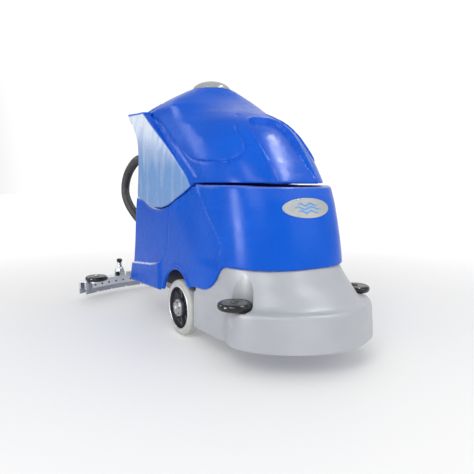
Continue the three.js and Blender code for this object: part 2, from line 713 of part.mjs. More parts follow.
function arcStrip(inner, outer, low, high, halfAngle = SQUEEGEE_HALF) {
  const STEPS = 22;
  const angles = Array.from({ length: STEPS + 1 }, (_, i) => (
    THREE.MathUtils.degToRad(halfAngle * (2 * i / STEPS - 1))
  ));
  const point = (radius) => (angle) => [radius * Math.sin(angle), ARC_Y + radius * Math.cos(angle)];
  const outline = angles.map(point(outer)).reverse().concat(angles.map(point(inner)));
  return flatPlate(outline, low, high);
}
const FRAME_LOW = 56;
const FRAME_TOP = 96;
place("squeegee_frame", join(
  arcStrip(SQUEEGEE_R, SQUEEGEE_R + 60, FRAME_TOP - 6, FRAME_TOP),
  arcStrip(SQUEEGEE_R, SQUEEGEE_R + 4.6, FRAME_LOW - 2, FRAME_TOP),
  arcStrip(SQUEEGEE_R + 10, SQUEEGEE_R + 15, FRAME_LOW, FRAME_TOP),
  arcStrip(SQUEEGEE_R + 45, SQUEEGEE_R + 50, FRAME_LOW, FRAME_TOP),
  ...SIDES.map(([, side]) => join(
    disc(34, 6, "z", [side * END_X, END_Y + 8, FRAME_TOP - 3]),
    disc(8, 36, "z", [side * END_X, END_Y, FRAME_TOP + 16], 16),
  )),
), alloy);
place("squeegee_blade_front", arcStrip(
  SQUEEGEE_R + 5, SQUEEGEE_R + 9.6, SQUEEGEE_CLEAR, FRAME_TOP - 6.4,
), rubber);
place("squeegee_blade_rear", arcStrip(
  SQUEEGEE_R + 50.4, SQUEEGEE_R + 55, SQUEEGEE_CLEAR, FRAME_TOP - 6.4,
), rubber);

const ELBOW_Y = SQUEEGEE_R + ARC_Y + 30;
place("suction_elbow", ring(26, 20, 68, "z", [0, ELBOW_Y, FRAME_TOP + 34 + GAP], 24), black);

for (const [name, side] of SIDES) {
  const x = side * CASTING_X;
  const y = arcY(CASTING_X, SQUEEGEE_R) + 24;
  const body = lathe([
    [0, FRAME_TOP + GAP], [26, FRAME_TOP + GAP], [24, 116], [13, 150], [11, 166], [0, 166],
  ], 24, "z", [x, y, 0]);
  const ear = box([x - 14, y - 44, 104], [x + 14, y - 8, 124]);
  const boltUp = disc(4, 16, "z", [x, y, 168], 12);
  place("casting_" + name, join(body, ear, boltUp), alloy);
  place("star_knob_" + name, cut(
    lathe([[0, 166.4], [12, 166.4], [15, 174], [15, 184], [10, 190], [0, 190]], 20, "z", [x, y, 0]),
    disc(4.4, 24, "z", [x, y, 168], 12),
  ), black);
}

place("squeegee_arm", join(
  sidePlate([[ARM_PIVOT.y - 12, 116], [880, 104], [880, 120], [ARM_PIVOT.y - 12, 139]], -38, -24),
  sidePlate([[ARM_PIVOT.y - 12, 116], [880, 104], [880, 120], [ARM_PIVOT.y - 12, 139]], 24, 38),
  box([-CASTING_X + 16, 838, 104], [CASTING_X - 16, 866, 124]),
  disc(6, 92, "x", [0, ARM_PIVOT.y, ARM_PIVOT.z], 16),
), steel);

for (const [name, side] of SIDES) {
  place("end_roller_" + name, roller(side * END_X, END_Y, FRAME_TOP + 8), black);
}

// ---- levers on the lower body's back ----
const LEVER = { y: 542, z: 456, tipY: 574, tipZ: 600 };
place("lever_bracket", offTank(cut(
  join(
    box([72, 490, 436], [158, 530, 476]),
    ...[72, 104, 150].map((x) => box([x, 500, 440], [x + 8, LEVER.y + 12, 472])),
  ),
  disc(5.4, 200, "x", [115, LEVER.y, LEVER.z], 16),
)), steel);
for (const [name, x] of [["squeegee_lever", 86], ["brush_lever", 122]]) {
  place(name, join(
    disc(11, 12, "x", [x + 6, LEVER.y, LEVER.z], 20),
    disc(5, 30, "x", [x + 6, LEVER.y, LEVER.z], 12),
    sidePlate([
      [LEVER.y - 8, LEVER.z], [LEVER.y + 9, LEVER.z - 2],
      [LEVER.tipY + 6, LEVER.tipZ], [LEVER.tipY - 6, LEVER.tipZ + 2],
    ], x, x + 12),
  ), steel);
  place(name + "_grip", lathe([
    [0, 0], [9, 0], [13, 10], [13, 46], [8, 56], [0, 58],
  ], 20, "z", [x + 6, LEVER.tipY + 1, LEVER.tipZ + 2.6]), x < 100 ? black : blue);
}

// ---- small pieces on the lower body ----
const PLATE = { z: 526, wide: 100, high: 34, thick: 2.2 };

// A blank oval plate that follows the tank's front.
function nameplate() {
  const shape = new THREE.Shape();
  shape.absellipse(0, 0, PLATE.wide, PLATE.high, 0, 2 * Math.PI);
  const slab = new THREE.ExtrudeGeometry(shape, { depth: 160, curveSegments: 18, bevelEnabled: false });
  const oval = toManifold(slab.rotateX(Math.PI / 2).translate(0, -380, PLATE.z));
  const heights = [480, 500, PLATE.z, 550, 570];
  return cut(
    oval.intersect(levels(heights, lowerShape, -GAP - PLATE.thick)),
    levels([470, ...heights, 580], lowerShape, -GAP),
  );
}
place("nameplate", nameplate(), pale);

const CLIP = { x: -150, y: 566, z: 345 };
place("hose_clip", offTank(join(
  cut(
    join(
      disc(30, 14, "z", [CLIP.x, CLIP.y, CLIP.z]),
      box([CLIP.x - 14, 500, CLIP.z - 7], [CLIP.x + 14, CLIP.y, CLIP.z + 7]),
    ),
    disc(24.4, 40, "z", [CLIP.x, CLIP.y, CLIP.z]),
  ),
  box([CLIP.x - 26, 508, CLIP.z - 26], [CLIP.x + 26, 530, CLIP.z + 26]),
)), black);

// ---- suction hose, in two lengths that meet in the clip ----
const HOSE_R = 23;
const HOSE_UPPER = [
  [CUFF.x, 426, CUFF.z], [CUFF.x, 446, CUFF.z], [-134, 482, 708], [-146, 540, 724],
  [-162, 610, 734], [-172, 676, 728], [-178, 742, 698], [-180, 806, 652], [-180, 842, 598],
  [-180, 840, 550], [-179, 800, 504], [-176, 732, 460], [-170, 668, 426], [-160, 612, 404],
  [-152, 572, 384], [CLIP.x, CLIP.y, CLIP.z + 16], [CLIP.x, CLIP.y, CLIP.z + 0.4],
];
const HOSE_LOWER = [
  [CLIP.x, CLIP.y, CLIP.z - 0.4], [CLIP.x, CLIP.y, CLIP.z - 16], [-146, 576, 302],
  [-124, 612, 268], [-84, 690, 240], [-36, 790, 232], [-8, 876, 240],
  [0, ELBOW_Y - 12, 228], [0, ELBOW_Y, 192], [0, ELBOW_Y, FRAME_TOP + 69],
];
place("hose_upper", tube(HOSE_UPPER, HOSE_R, 22, 10), hoseGrey);
place("hose_lower", tube(HOSE_LOWER, HOSE_R, 14, 10), hoseGrey);

export default machine;
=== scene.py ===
"""The looks of a walk-behind floor scrubber dryer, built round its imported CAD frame.

Metres, +Z up, the machine drives towards -Y and the operator's right is -X. The shells' shapes are
worked out in millimetres from the wheels' axle, as on a drawing, and at() turns them into metres.
"""

import math

import bmesh
import bpy
import numpy as np
from mathutils import Matrix, Vector


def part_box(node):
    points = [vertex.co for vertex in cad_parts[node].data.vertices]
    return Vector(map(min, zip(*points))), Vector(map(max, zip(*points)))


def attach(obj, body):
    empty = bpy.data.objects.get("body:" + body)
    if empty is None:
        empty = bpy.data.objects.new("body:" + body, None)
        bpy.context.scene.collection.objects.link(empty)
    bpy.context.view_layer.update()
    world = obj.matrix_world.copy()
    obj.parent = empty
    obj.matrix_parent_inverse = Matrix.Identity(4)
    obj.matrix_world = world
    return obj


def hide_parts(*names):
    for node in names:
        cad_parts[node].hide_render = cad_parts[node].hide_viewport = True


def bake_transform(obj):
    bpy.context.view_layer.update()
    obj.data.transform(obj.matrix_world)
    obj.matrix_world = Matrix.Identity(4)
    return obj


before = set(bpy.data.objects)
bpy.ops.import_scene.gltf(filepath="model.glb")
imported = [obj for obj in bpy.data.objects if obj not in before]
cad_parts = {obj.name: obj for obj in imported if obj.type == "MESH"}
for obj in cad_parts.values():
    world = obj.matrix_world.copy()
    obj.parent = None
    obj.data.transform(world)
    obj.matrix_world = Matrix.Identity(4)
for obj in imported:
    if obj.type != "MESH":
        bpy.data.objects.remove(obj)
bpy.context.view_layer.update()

MM = 0.001
AXLE_Y = (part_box("axle")[0].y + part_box("axle")[1].y) / 2
SIDES = {"right": -1, "left": 1}
scene = bpy.context.scene


def at(x, y, z):
    """A point in the frame, in metres, from millimetres measured from the axle."""
    return Vector((x * MM, y * MM + AXLE_Y, z * MM))


# ---- camera: low, off the front right corner ----
CAMERA_AT = (-1.0976, -1.9545, 0.6063)
CAMERA_TURN = math.radians(31.67)
CAMERA_DIP = math.radians(6.02)
CAMERA_LENS = 37.93

camera_data = bpy.data.cameras.new("camera")
camera_data.lens = CAMERA_LENS
camera_data.sensor_width = 36
camera = bpy.data.objects.new("camera", camera_data)
camera.location = CAMERA_AT
camera.rotation_euler = (math.pi / 2 - CAMERA_DIP, 0, -CAMERA_TURN)
scene.collection.objects.link(camera)
scene.camera = camera


class Tree:
    """Short calls for building a node tree."""

    def __init__(self, tree):
        self.tree = tree

    def add(self, kind, **values):
        node = self.tree.nodes.new(kind)
        for key, value in values.items():
            setattr(node, key, value)
        return node

    def link(self, source, target):
        self.tree.links.new(source, target)

    def spread(self, source, low, high, start=0.3, end=0.7, shape="LINEAR"):
        node = self.add("ShaderNodeMapRange", interpolation_type=shape)
        node.inputs["From Min"].default_value = start
        node.inputs["From Max"].default_value = end
        node.inputs["To Min"].default_value = low
        node.inputs["To Max"].default_value = high
        self.link(source, node.inputs["Value"])
        return node.outputs["Result"]

    def maths(self, operation, *sources, clamp=False):
        node = self.add("ShaderNodeMath", operation=operation, use_clamp=clamp)
        for source, socket in zip(sources, node.inputs):
            self.link(source, socket)
        return node.outputs["Value"]

    def along(self, source, direction):
        """How far a place or a direction reaches along another direction."""
        node = self.add("ShaderNodeVectorMath", operation="DOT_PRODUCT")
        node.inputs[1].default_value = direction
        self.link(source, node.inputs[0])
        return node.outputs["Value"]

    def axes(self, source):
        node = self.add("ShaderNodeSeparateXYZ")
        self.link(source, node.inputs["Vector"])
        return node.outputs


class Nodes(Tree):
    """The same for one material."""

    def __init__(self, name):
        self.material = bpy.data.materials.new(name)
        self.material.use_nodes = True
        super().__init__(self.material.node_tree)
        self.shader = self.tree.nodes["Principled BSDF"]
        self.place = self.add("ShaderNodeTexCoord").outputs["Object"]

    def geometry(self, output):
        return self.add("ShaderNodeNewGeometry").outputs[output]

    def noise(self, scale, detail=3.0, stretch=None):
        node = self.add("ShaderNodeTexNoise")
        node.inputs["Scale"].default_value = scale
        node.inputs["Detail"].default_value = detail
        place = self.place
        if stretch:
            mapping = self.add("ShaderNodeMapping")
            mapping.inputs["Scale"].default_value = stretch
            self.link(place, mapping.inputs["Vector"])
            place = mapping.outputs["Vector"]
        self.link(place, node.inputs["Vector"])
        return node.outputs["Fac"]

    def ramp(self, source, stops):
        node = self.add("ShaderNodeValToRGB")
        ramp = node.color_ramp
        while len(ramp.elements) < len(stops):
            ramp.elements.new(0.5)
        for element, (position, colour) in zip(ramp.elements, stops):
            element.position = position
            element.color = (*colour, 1)
        self.link(source, node.inputs["Fac"])
        return node.outputs["Color"]

    def mix(self, share, first, second):
        node = self.add("ShaderNodeMix", data_type="RGBA")
        for value, socket in ((share, 0), (first, 6), (second, 7)):
            if isinstance(value, (tuple, list)):
                node.inputs[socket].default_value = (*value, 1)
            elif isinstance(value, (int, float)):
                node.inputs[socket].default_value = value
            else:
                self.link(value, node.inputs[socket])
        return node.outputs[2]

    def bump(self, source, strength, distance, below=None):
        node = self.add("ShaderNodeBump")
        node.inputs["Strength"].default_value = strength
        node.inputs["Distance"].default_value = distance
        self.link(source, node.inputs["Height"])
        if below:
            self.link(below, node.inputs["Normal"])
        return node.outputs["Normal"]

    def edges(self, start, end):
        """0 on flat faces and 1 on sharp outer edges, which are drawn worn and with a painted highlight."""
        return self.spread(self.geometry("Pointiness"), 0, 1, start, end)

    def finish(self, colour, roughness, normal=None, **shader):
        self.link(colour, self.shader.inputs["Base Color"])
        self.link(roughness, self.shader.inputs["Roughness"])
        if normal:
            self.link(normal, self.shader.inputs["Normal"])
        for key, value in shader.items():
            self.shader.inputs[key.replace("_", " ").title().replace("Ior", "IOR")].default_value = value
        return self.material


def paint_wing_sheen(n, colour):
    """A painted reflection on the wings' face: a pale streaked sheen, whiter towards the top and fading out
    lower down.
    """
    place = n.axes(n.place)
    height = n.spread(place["Z"], 0, 1, *SHEEN_Z)
    streaks = n.spread(n.noise(26, 5, (1, 1, 0.14)), -0.22, 0.22, 0.35, 0.65)
    sheen = n.ramp(n.maths("ADD", height, streaks, clamp=True), SHEEN_COLOURS)
    wide = n.maths("ABSOLUTE", place["X"])
    face = n.mix(n.spread(wide, 0, 1, *SHEEN_X), colour, sheen)
    return n.mix(n.spread(place["Z"], 0, 1, *SHEEN_TOP), face, colour)


def paint_ledge_highlight(n, colour):
    """Ledges that face up get a painted highlight, paler most of all towards the tail."""
    upward = n.spread(n.axes(n.geometry("Normal"))["Z"], 0, 1, 0.3, 0.75)
    tailward = n.spread(n.axes(n.place)["Y"], 0.12, 0.85, 0.02, 0.14)
    return n.mix(n.maths("MULTIPLY", upward, tailward), colour, LEDGE_HIGHLIGHT_PALE)


def moulded(name, dark, light, rough, peel, sheen_on_wings=False, lit_ledges=False, **shader):
    """Rotationally moulded plastic: an orange peel of two sizes, cloudy pigment and worn edges lightened
    with a painted highlight.
    """
    n = Nodes(name)
    cloud = n.noise(5, 4)
    colour = n.ramp(cloud, [(0.3, dark), (0.7, light)])
    # Sharp outer edges are lighter: wear and a painted highlight.
    colour = n.mix(n.edges(0.53, 0.62), colour, tuple(min(1, 1.25 * c + 0.02) for c in light))
    # A painted reflection, a pale sheen, on the wings' face.
    if sheen_on_wings:
        colour = paint_wing_sheen(n, colour)
    # A painted highlight on ledges that face up.
    if lit_ledges:
        colour = paint_ledge_highlight(n, colour)
    waves = n.bump(n.noise(95, 2), peel * 0.55, 0.0006)
    grain = n.bump(n.noise(620, 2), peel, 0.00035, waves)
    roughness = n.spread(n.noise(26, 5), rough - 0.05, rough + 0.07)
    return n.finish(colour, roughness, grain, **shader)


def textured(name, dark, light, rough, grain, depth, **shader):
    """Plastic or rubber with an even texture of one size."""
    n = Nodes(name)
    colour = n.ramp(n.noise(18, 5), [(0.3, dark), (0.7, light)])
    # Sharp outer edges are lighter: wear and a painted highlight.
    colour = n.mix(n.edges(0.54, 0.66), colour, tuple(min(1, 1.5 * c + 0.03) for c in light))
    normal = n.bump(n.noise(grain, 3), 0.35, depth)
    roughness = n.spread(n.noise(40, 5), rough - 0.08, rough + 0.08)
    return n.finish(colour, roughness, normal, **shader)


def metal(name, dark, light, rough, stretch=None):
    """Metal with fine marks along one direction, cloudy roughness and bright edges, both worn and with a
    painted highlight.
    """
    n = Nodes(name)
    marks = n.noise(260, 4, stretch)
    colour = n.ramp(marks, [(0.25, dark), (0.75, light)])
    # Sharp outer edges are lighter: wear and a painted highlight.
    colour = n.mix(n.edges(0.54, 0.64), colour, (0.85, 0.86, 0.88))
    normal = n.bump(marks, 0.25, 0.0002)
    roughness = n.spread(n.noise(22, 6), rough - 0.1, rough + 0.12)
    return n.finish(colour, roughness, normal, metallic=1.0)


# The pale colour of the painted highlight on ledges that face up.
LEDGE_HIGHLIGHT_PALE = (0.92, 0.95, 1.0)
# Where the painted sheen on the wings' face starts, as |x|, and the heights over which it ends and whitens,
# in metres.
SHEEN_X = (0.2365, 0.2385)
SHEEN_TOP = (0.924, 0.929)
SHEEN_Z = (0.66, 1.0)
# The painted sheen's colours, from low on the wing to its whitest.
SHEEN_COLOURS = [
    (0.0, (0.2, 0.37, 0.7)), (0.35, (0.4, 0.53, 0.78)), (0.7, (0.64, 0.71, 0.83)), (1.0, (0.78, 0.81, 0.87)),
]
SHELL_BLUE = {
    "dark": (0.001, 0.092, 0.6), "light": (0.002, 0.112, 0.69), "rough": 0.27, "peel": 0.11,
    "specular_ior_level": 0.15,
}
BLUE = moulded("blue_shell", **SHELL_BLUE)
# The lower tank's blue, with a painted highlight on ledges that face up.
BLUE_LEDGE_LIT = moulded("blue_shell_ledge_highlight", lit_ledges=True, **SHELL_BLUE)
# The upper tank's blue, with a painted reflection on the wings' face.
BLUE_WING_SHEEN = moulded("blue_shell_wing_sheen", sheen_on_wings=True, **SHELL_BLUE)
GREY = moulded("grey_shell", (0.42, 0.44, 0.475), (0.5, 0.515, 0.55), 0.38, 0.12)
DOME = moulded("dome", (0.37, 0.4, 0.4), (0.44, 0.47, 0.47), 0.24, 0.06, transmission_weight=0.1)
RIM_WHITE = textured("rim_white", (0.62, 0.63, 0.62), (0.72, 0.73, 0.72), 0.35, 300, 0.0002)
BLACK = textured("black_plastic", (0.012, 0.012, 0.014), (0.022, 0.022, 0.026), 0.42, 700, 0.0003)
ROLLER = textured("roller_black", (0.006, 0.006, 0.007), (0.014, 0.014, 0.016), 0.2, 420, 0.0001)
# Grey for the rollers' glossy black tops, in place of their reflection: a painted reflection.
ROLLER_TOP_SHEEN = textured("cap_grey", (0.06, 0.065, 0.07), (0.1, 0.105, 0.11), 0.34, 300, 0.0002)
HUB = textured("hub_grey", (0.3, 0.31, 0.33), (0.42, 0.43, 0.45), 0.36, 300, 0.0003, metallic=0.5)
RUBBER = textured("grip_rubber", (0.016, 0.016, 0.017), (0.03, 0.03, 0.032), 0.75, 500, 0.0005)
BLADE = textured("blade_rubber", (0.20, 0.215, 0.25), (0.28, 0.30, 0.34), 0.55, 300, 0.0003)
TYRE = textured("tyre_white", (0.46, 0.47, 0.44), (0.58, 0.59, 0.56), 0.58, 380, 0.0004)
RIM_DARK = textured("rim_dark", (0.018, 0.016, 0.024), (0.035, 0.032, 0.042), 0.32, 500, 0.0002)
HOSE = textured("hose", (0.028, 0.024, 0.027), (0.055, 0.048, 0.052), 0.48, 350, 0.0003)
BATTERY = textured("battery_case", (0.02, 0.02, 0.024), (0.035, 0.035, 0.04), 0.5, 260, 0.0004)
PAINT = textured("frame_paint", (0.36, 0.37, 0.39), (0.46, 0.47, 0.49), 0.42, 800, 0.0002)
BRISTLE = textured("bristle", (0.02, 0.05, 0.16), (0.06, 0.12, 0.28), 0.7, 900, 0.001)
LEVER_BLUE = textured("lever_blue", (0.006, 0.09, 0.6), (0.01, 0.12, 0.7), 0.3, 300, 0.0002)
STEEL = metal("steel", (0.42, 0.43, 0.45), (0.6, 0.61, 0.63), 0.3)
ALLOY = metal("cast_alloy", (0.48, 0.5, 0.52), (0.66, 0.68, 0.7), 0.42)
STRIP = metal("squeegee_alloy", (0.62, 0.65, 0.7), (0.8, 0.83, 0.88), 0.4, (0.2, 6, 6))
MOTOR = textured("motor_steel", (0.03, 0.032, 0.035), (0.06, 0.062, 0.066), 0.4, 500, 0.0003)
PLATE = textured("nameplate", (0.4, 0.42, 0.41), (0.47, 0.49, 0.48), 0.42, 300, 0.0001, metallic=0.3)
MOTIF = textured("motif_blue", (0.02, 0.16, 0.5), (0.04, 0.24, 0.62), 0.35, 300, 0.0001)


# ---- making pieces ----
def new_mesh(name, vertices, faces):
    mesh = bpy.data.meshes.new(name)
    mesh.from_pydata([tuple(v) for v in vertices], [], faces)
    piece = bpy.data.objects.new(name, mesh)
    scene.collection.objects.link(piece)
    return piece


def ring_faces(rows, columns):
    """Quads between neighbouring rings of points."""
    faces = []
    for r in range(rows - 1):
        for i in range(columns):
            j = (i + 1) % columns
            a, b = r * columns, (r + 1) * columns
            faces.append((a + i, a + j, b + j, b + i))
    return faces


def tube_faces(rows, columns):
    """The same, with one face over each end."""
    ends = [tuple(range(columns))[::-1], tuple(range((rows - 1) * columns, rows * columns))]
    return ring_faces(rows, columns) + ends


def clean(piece, crease=40):
    """Joins coincident points, turns normals out and shades smooth up to crease degrees."""
    mesh = bmesh.new()
    mesh.from_mesh(piece.data)
    bmesh.ops.remove_doubles(mesh, verts=mesh.verts, dist=1e-6)
    bmesh.ops.recalc_face_normals(mesh, faces=mesh.faces)
    mesh.to_mesh(piece.data)
    mesh.free()
    piece.data.shade_smooth()
    piece.data.set_sharp_from_angle(angle=math.radians(crease))


def solid(name, vertices, faces, crease=40):
    piece = new_mesh(name, vertices, faces)
    clean(piece, crease)
    return piece


def put(piece, material, body, *nodes):
    """Gives a piece its material and body, and hides the CAD nodes that it stands for."""
    piece.data.materials.clear()
    piece.data.materials.append(material)
    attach(piece, body)
    if nodes:
        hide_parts(*nodes)
    return piece


def bevel(piece, width, segments=2, angle=35):
    modifier = piece.modifiers.new("bevel", "BEVEL")
    modifier.width = width
    modifier.segments = segments
    modifier.limit_method = "ANGLE"
    modifier.angle_limit = math.radians(angle)
    modifier.harden_normals = True


def apply_modifiers(piece):
    bpy.context.view_layer.update()
    shown = piece.evaluated_get(bpy.context.evaluated_depsgraph_get())
    mesh = bpy.data.meshes.new_from_object(shown)
    piece.modifiers.clear()
    piece.data = mesh


def combine(piece, others, operation):
    """Joins or cuts closed solids exactly, and uses the others up."""
    for other in others:
        modifier = piece.modifiers.new("combine", "BOOLEAN")
        modifier.operation = operation
        modifier.solver = "MANIFOLD"
        modifier.object = other
    apply_modifiers(piece)
    for other in others:
        bpy.data.objects.remove(other)


def block(name, low, high):
    """A closed box between two corners given in millimetres from the axle."""
    low, high = at(*low), at(*high)
    mesh = bmesh.new()
    bmesh.ops.create_cube(mesh, size=1)
    for v in mesh.verts:
        v.co = Vector((a + (b - a) * (c + 0.5) for a, b, c in zip(low, high, v.co)))
    piece = bpy.data.objects.new(name, bpy.data.meshes.new(name))
    mesh.to_mesh(piece.data)
    mesh.free()
    scene.collection.objects.link(piece)
    return piece


def lathe(name, profile, centre, axis="z", segments=64, lobes=0, depth=0.0):
    """A turned solid: profile is [radius, height] in millimetres, from axis to axis or a closed ring.
    lobes and depth make its outside wavy, as a star knob's is."""
    angles = np.linspace(0, 2 * math.pi, segments, endpoint=False)
    wave = 1 - depth * (0.5 - 0.5 * np.cos(lobes * angles))
    rings = []
    for radius, height in profile:
        x, y = radius * wave * np.cos(angles), radius * wave * np.sin(angles)
        z = np.full(segments, height)
        columns = {"z": (x, y, z), "x": (z, x, y), "y": (x, z, y)}[axis]
        rings.append(np.stack(columns, 1) * MM + np.array(centre))
    return solid(name, np.concatenate(rings), ring_faces(len(profile), segments))


def drum(name, radius, half, centre, axis="z", segments=64):
    """A plain cylinder that reaches half its length each way from its centre."""
    return lathe(name, [[0, -half], [radius, -half], [radius, half], [0, half]], centre, axis, segments)


def rounded(points, radius, steps=3):
    """A profile with every corner between its two ends rounded."""
    out = [points[0]]
    for before, here, after in zip(points, points[1:], points[2:]):
        p, q, r = (np.array(v, float) for v in (before, here, after))
        first, second = np.linalg.norm(p - q), np.linalg.norm(r - q)
        reach = min(radius, first * 0.45, second * 0.45)
        start, end = q + (p - q) / first * reach, q + (r - q) / second * reach
        for t in np.linspace(0, 1, steps + 1):
            out.append(tuple((1 - t) ** 2 * start + 2 * t * (1 - t) * q + t * t * end))
    return out + [points[-1]]


def join(name, pieces):
    """One object from several closed pieces."""
    vertices, faces = [], []
    for piece in pieces:
        start = len(vertices)
        vertices += [tuple(v.co) for v in piece.data.vertices]
        faces += [[start + i for i in polygon.vertices] for polygon in piece.data.polygons]
        bpy.data.objects.remove(piece)
    return solid(name, vertices, faces)


def middle_of(node):
    low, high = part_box(node)
    return (low + high) / 2


# ---- the shells' outlines ----
def curve(rows):
    """A smooth curve through rows of [height, values...] that never overshoots them."""
    table = np.array(rows, float)
    z, v = table[:, 0], table[:, 1:]
    step = np.diff(z)[:, None]
    slope = np.diff(v, axis=0) / step
    before, after = slope[:-1], slope[1:]
    same = before * after > 0
    w1, w2 = 2 * step[1:] + step[:-1], step[1:] + 2 * step[:-1]
    safe = np.where(same, w1 / np.where(same, before, 1) + w2 / np.where(same, after, 1), 1)
    tangent = np.vstack([slope[:1], np.where(same, (w1 + w2) / safe, 0), slope[-1:]])

    def value(height):
        height = np.clip(np.asarray(height, float), z[0], z[-1])
        i = np.clip(np.searchsorted(z, height, side="right") - 1, 0, len(z) - 2)
        h = (z[i + 1] - z[i])[..., None]
        t = (height - z[i])[..., None] / h
        return (
            v[i] * (2 * t**3 - 3 * t**2 + 1) + v[i + 1] * (3 * t**2 - 2 * t**3)
            + tangent[i] * h * (t**3 - 2 * t**2 + t) + tangent[i + 1] * h * (t**3 - t**2)
        )

    return value


def ease(value, start, end):
    t = np.clip((value - start) / (end - start), 0, 1)
    return t * t * (3 - 2 * t)


class Shell:
    """A wall made of horizontal outlines. Its columns run from the nose round one side to the tail,
    then back round the other, and each column has its own lowest and highest height."""

    def __init__(self, rows, counts, side=None):
        self.values = curve(rows)
        self.side = side
        starts = np.cumsum([0, *counts])
        self.half_count = starts[-1] + 1
        self.angle, self.part, self.turn, self.rear = (
            np.concatenate([
                np.zeros(start + 1), np.linspace(0, 1, count + 1)[1:],
                np.ones(self.half_count - 1 - start - count),
            ])
            for start, count in zip(starts, counts)
        )

    def half(self, z, inset=0.0):
        """x and y of the half outline's columns, each at its own height."""
        half, front, middle, tail, corner, power = self.values(z).T
        half, front, tail = half - inset, front + inset, tail - inset
        angle = self.angle * math.pi / 2
        x = half * np.sin(angle) ** (2 / power)
        y = middle - (middle - front) * np.maximum(np.cos(angle), 0) ** (2 / power)
        end = tail - corner
        y = np.where(self.part > 0, middle + (end - middle) * self.part, y)
        if self.side:
            x = np.where(self.part > 0, self.side(half, middle, y, inset, z), x)
        bend = self.turn * math.pi / 2
        inner = x - corner
        y = np.where(self.turn > 0, end + corner * np.sin(bend), y)
        x = np.where(self.turn > 0, inner + corner * np.cos(bend), x)
        x = np.where(self.rear > 0, inner * (1 - self.rear), x)
        return x, y

    def height(self, line, start):
        """Where each column meets a line that gives z for each y."""
        z = np.full(self.half_count, float(start))
        for _ in range(25):
            z = 0.5 * z + 0.5 * line(self.half(z)[1])
        return z

    def rings(self, low, high, levels, lip_low, lip_high):
        """Half outlines from the low line to the high line, with rounded lips."""
        arcs = np.radians([0, 30, 60, 90])
        found = []
        for a in arcs:
            found.append((low + lip_low * (1 - math.cos(a)), lip_low * (1 - math.sin(a))))
        for level in levels:
            found.append((np.clip(level, low + lip_low, high - lip_high), 0.0))
        for a in arcs[::-1]:
            found.append((high - lip_high * (1 - math.cos(a)), lip_high * (1 - math.sin(a))))
        out = []
        for z, inset in found:
            x, y = self.half(z, inset)
            out.append(np.stack([x, y, np.broadcast_to(z, x.shape)], 1))
        return np.array(out)


def full(halves):
    """Whole rings from half rings: the other side is the mirror image."""
    mirrored = halves[:, -2:0:-1] * np.array([-1, 1, 1])
    return np.concatenate([halves, mirrored], 1)


def skin(name, rings, half_count):
    """A closed solid through rings whose two ends are ruled straight across the machine."""
    rows, columns, _ = rings.shape
    points = rings.reshape(-1, 3) * MM + np.array((0, AXLE_Y, 0))
    faces = ring_faces(rows, columns)
    for start, up in ((0, False), ((rows - 1) * columns, True)):
        for i in range(half_count - 1):
            quad = [start + k % columns for k in (i, i + 1, columns - i - 1, columns - i)]
            quad = [k for n, k in enumerate(quad) if k not in quad[:n]]
            faces.append(tuple(quad if up else quad[::-1]))
    return solid(name, points, faces)


def line(points):
    table = np.array(points, float)
    return lambda y: np.interp(y, table[:, 0], table[:, 1])


def smooth_line(points):
    value = curve(points)
    return lambda y: value(y)[..., 0]


# The parting line between the tanks, as [y, z].
SPLIT_GAP = 8
split = smooth_line([
    [-700, 607], [-130, 612], [-100, 611.5], [-79, 606], [-60, 597], [48, 552], [141, 518],
    [222, 505], [309, 515], [410, 544], [700, 560],
])


def near_line(points, y, z):
    """Distance in the YZ plane from a line of points, and how far along it the nearest point is."""
    best = np.full(y.shape, 1e9)
    nearest = np.zeros(y.shape)
    for k, ((y0, z0), (y1, z1)) in enumerate(zip(points, points[1:])):
        dy, dz = y1 - y0, z1 - z0
        t = np.clip(((y - y0) * dy + (z - z0) * dz) / (dy * dy + dz * dz), 0, 1)
        distance = np.hypot(y - y0 - t * dy, z - z0 - t * dz)
        nearest = np.where(distance < best, k + t, nearest)
        best = np.minimum(best, distance)
    return best, nearest / (len(points) - 1)


def inside(points, y, z):
    """Whether each place is inside an outline in the YZ plane."""
    found = np.zeros(y.shape, bool)
    for (y0, z0), (y1, z1) in zip(points, points[1:] + points[:1]):
        crosses = (z0 > z) != (z1 > z)
        edge = y0 + (z - z0) * (y1 - y0) / np.where(z1 == z0, 1, z1 - z0)
        found ^= crosses & (y < edge)
    return found


def push(rings, amount, first, last):
    """Moves the rings from first to last along their outward normals by amount(x, y, z) millimetres."""
    part = rings[first:last]
    along = np.roll(part, -1, 1) - np.roll(part, 1, 1)
    up = np.gradient(part, axis=0)
    up[np.linalg.norm(up, axis=2) < 1e-6] = (0, 0, 1)
    normal = np.cross(along, up)
    normal /= np.maximum(np.linalg.norm(normal, axis=2), 1e-9)[..., None]
    shift = amount(*np.moveaxis(part, 2, 0))
    rings[first:last] = part + normal * shift[..., None]


# ---- lower tank ----
# Rows of a shell: [height, half width, nose y, y where the side begins, tail y, tail corner radius,
# how square the nose is].
LOWER_ROWS = [
    [138, 258, -528, -200, 566, 20, 2.58],
    [236, 257, -527, -200, 534, 20, 2.58],
    [322, 255, -522, -200, 522, 20, 2.58],
    [526, 249, -482, -200, 505, 20, 2.46],
    [590, 245, -459, -200, 478, 22, 2.4],
    [612, 239, -449, -200, 462, 24, 2.4],
]
# The wheel arch, as [y, z, radius], and the underside of the tank above it.
ARCH = (30, 124, 142)
TANK_FLOOR = 322


def lower_edge():
    """The lower tank's lower edge, as z for each y."""
    nose = [[-700, 322], [-335, 322], [-318, 314], [-305, 300], [-285, 272], [-262, 248], [-240, 236]]
    arch = []
    for angle in range(140, 14, -5):
        turn = math.radians(angle)
        arch.append([ARCH[0] + ARCH[2] * math.cos(turn), ARCH[1] + ARCH[2] * math.sin(turn)])
    return line(nose + [[-205, 224], [-150, 222]] + arch + [[190, 158], [700, 140]])


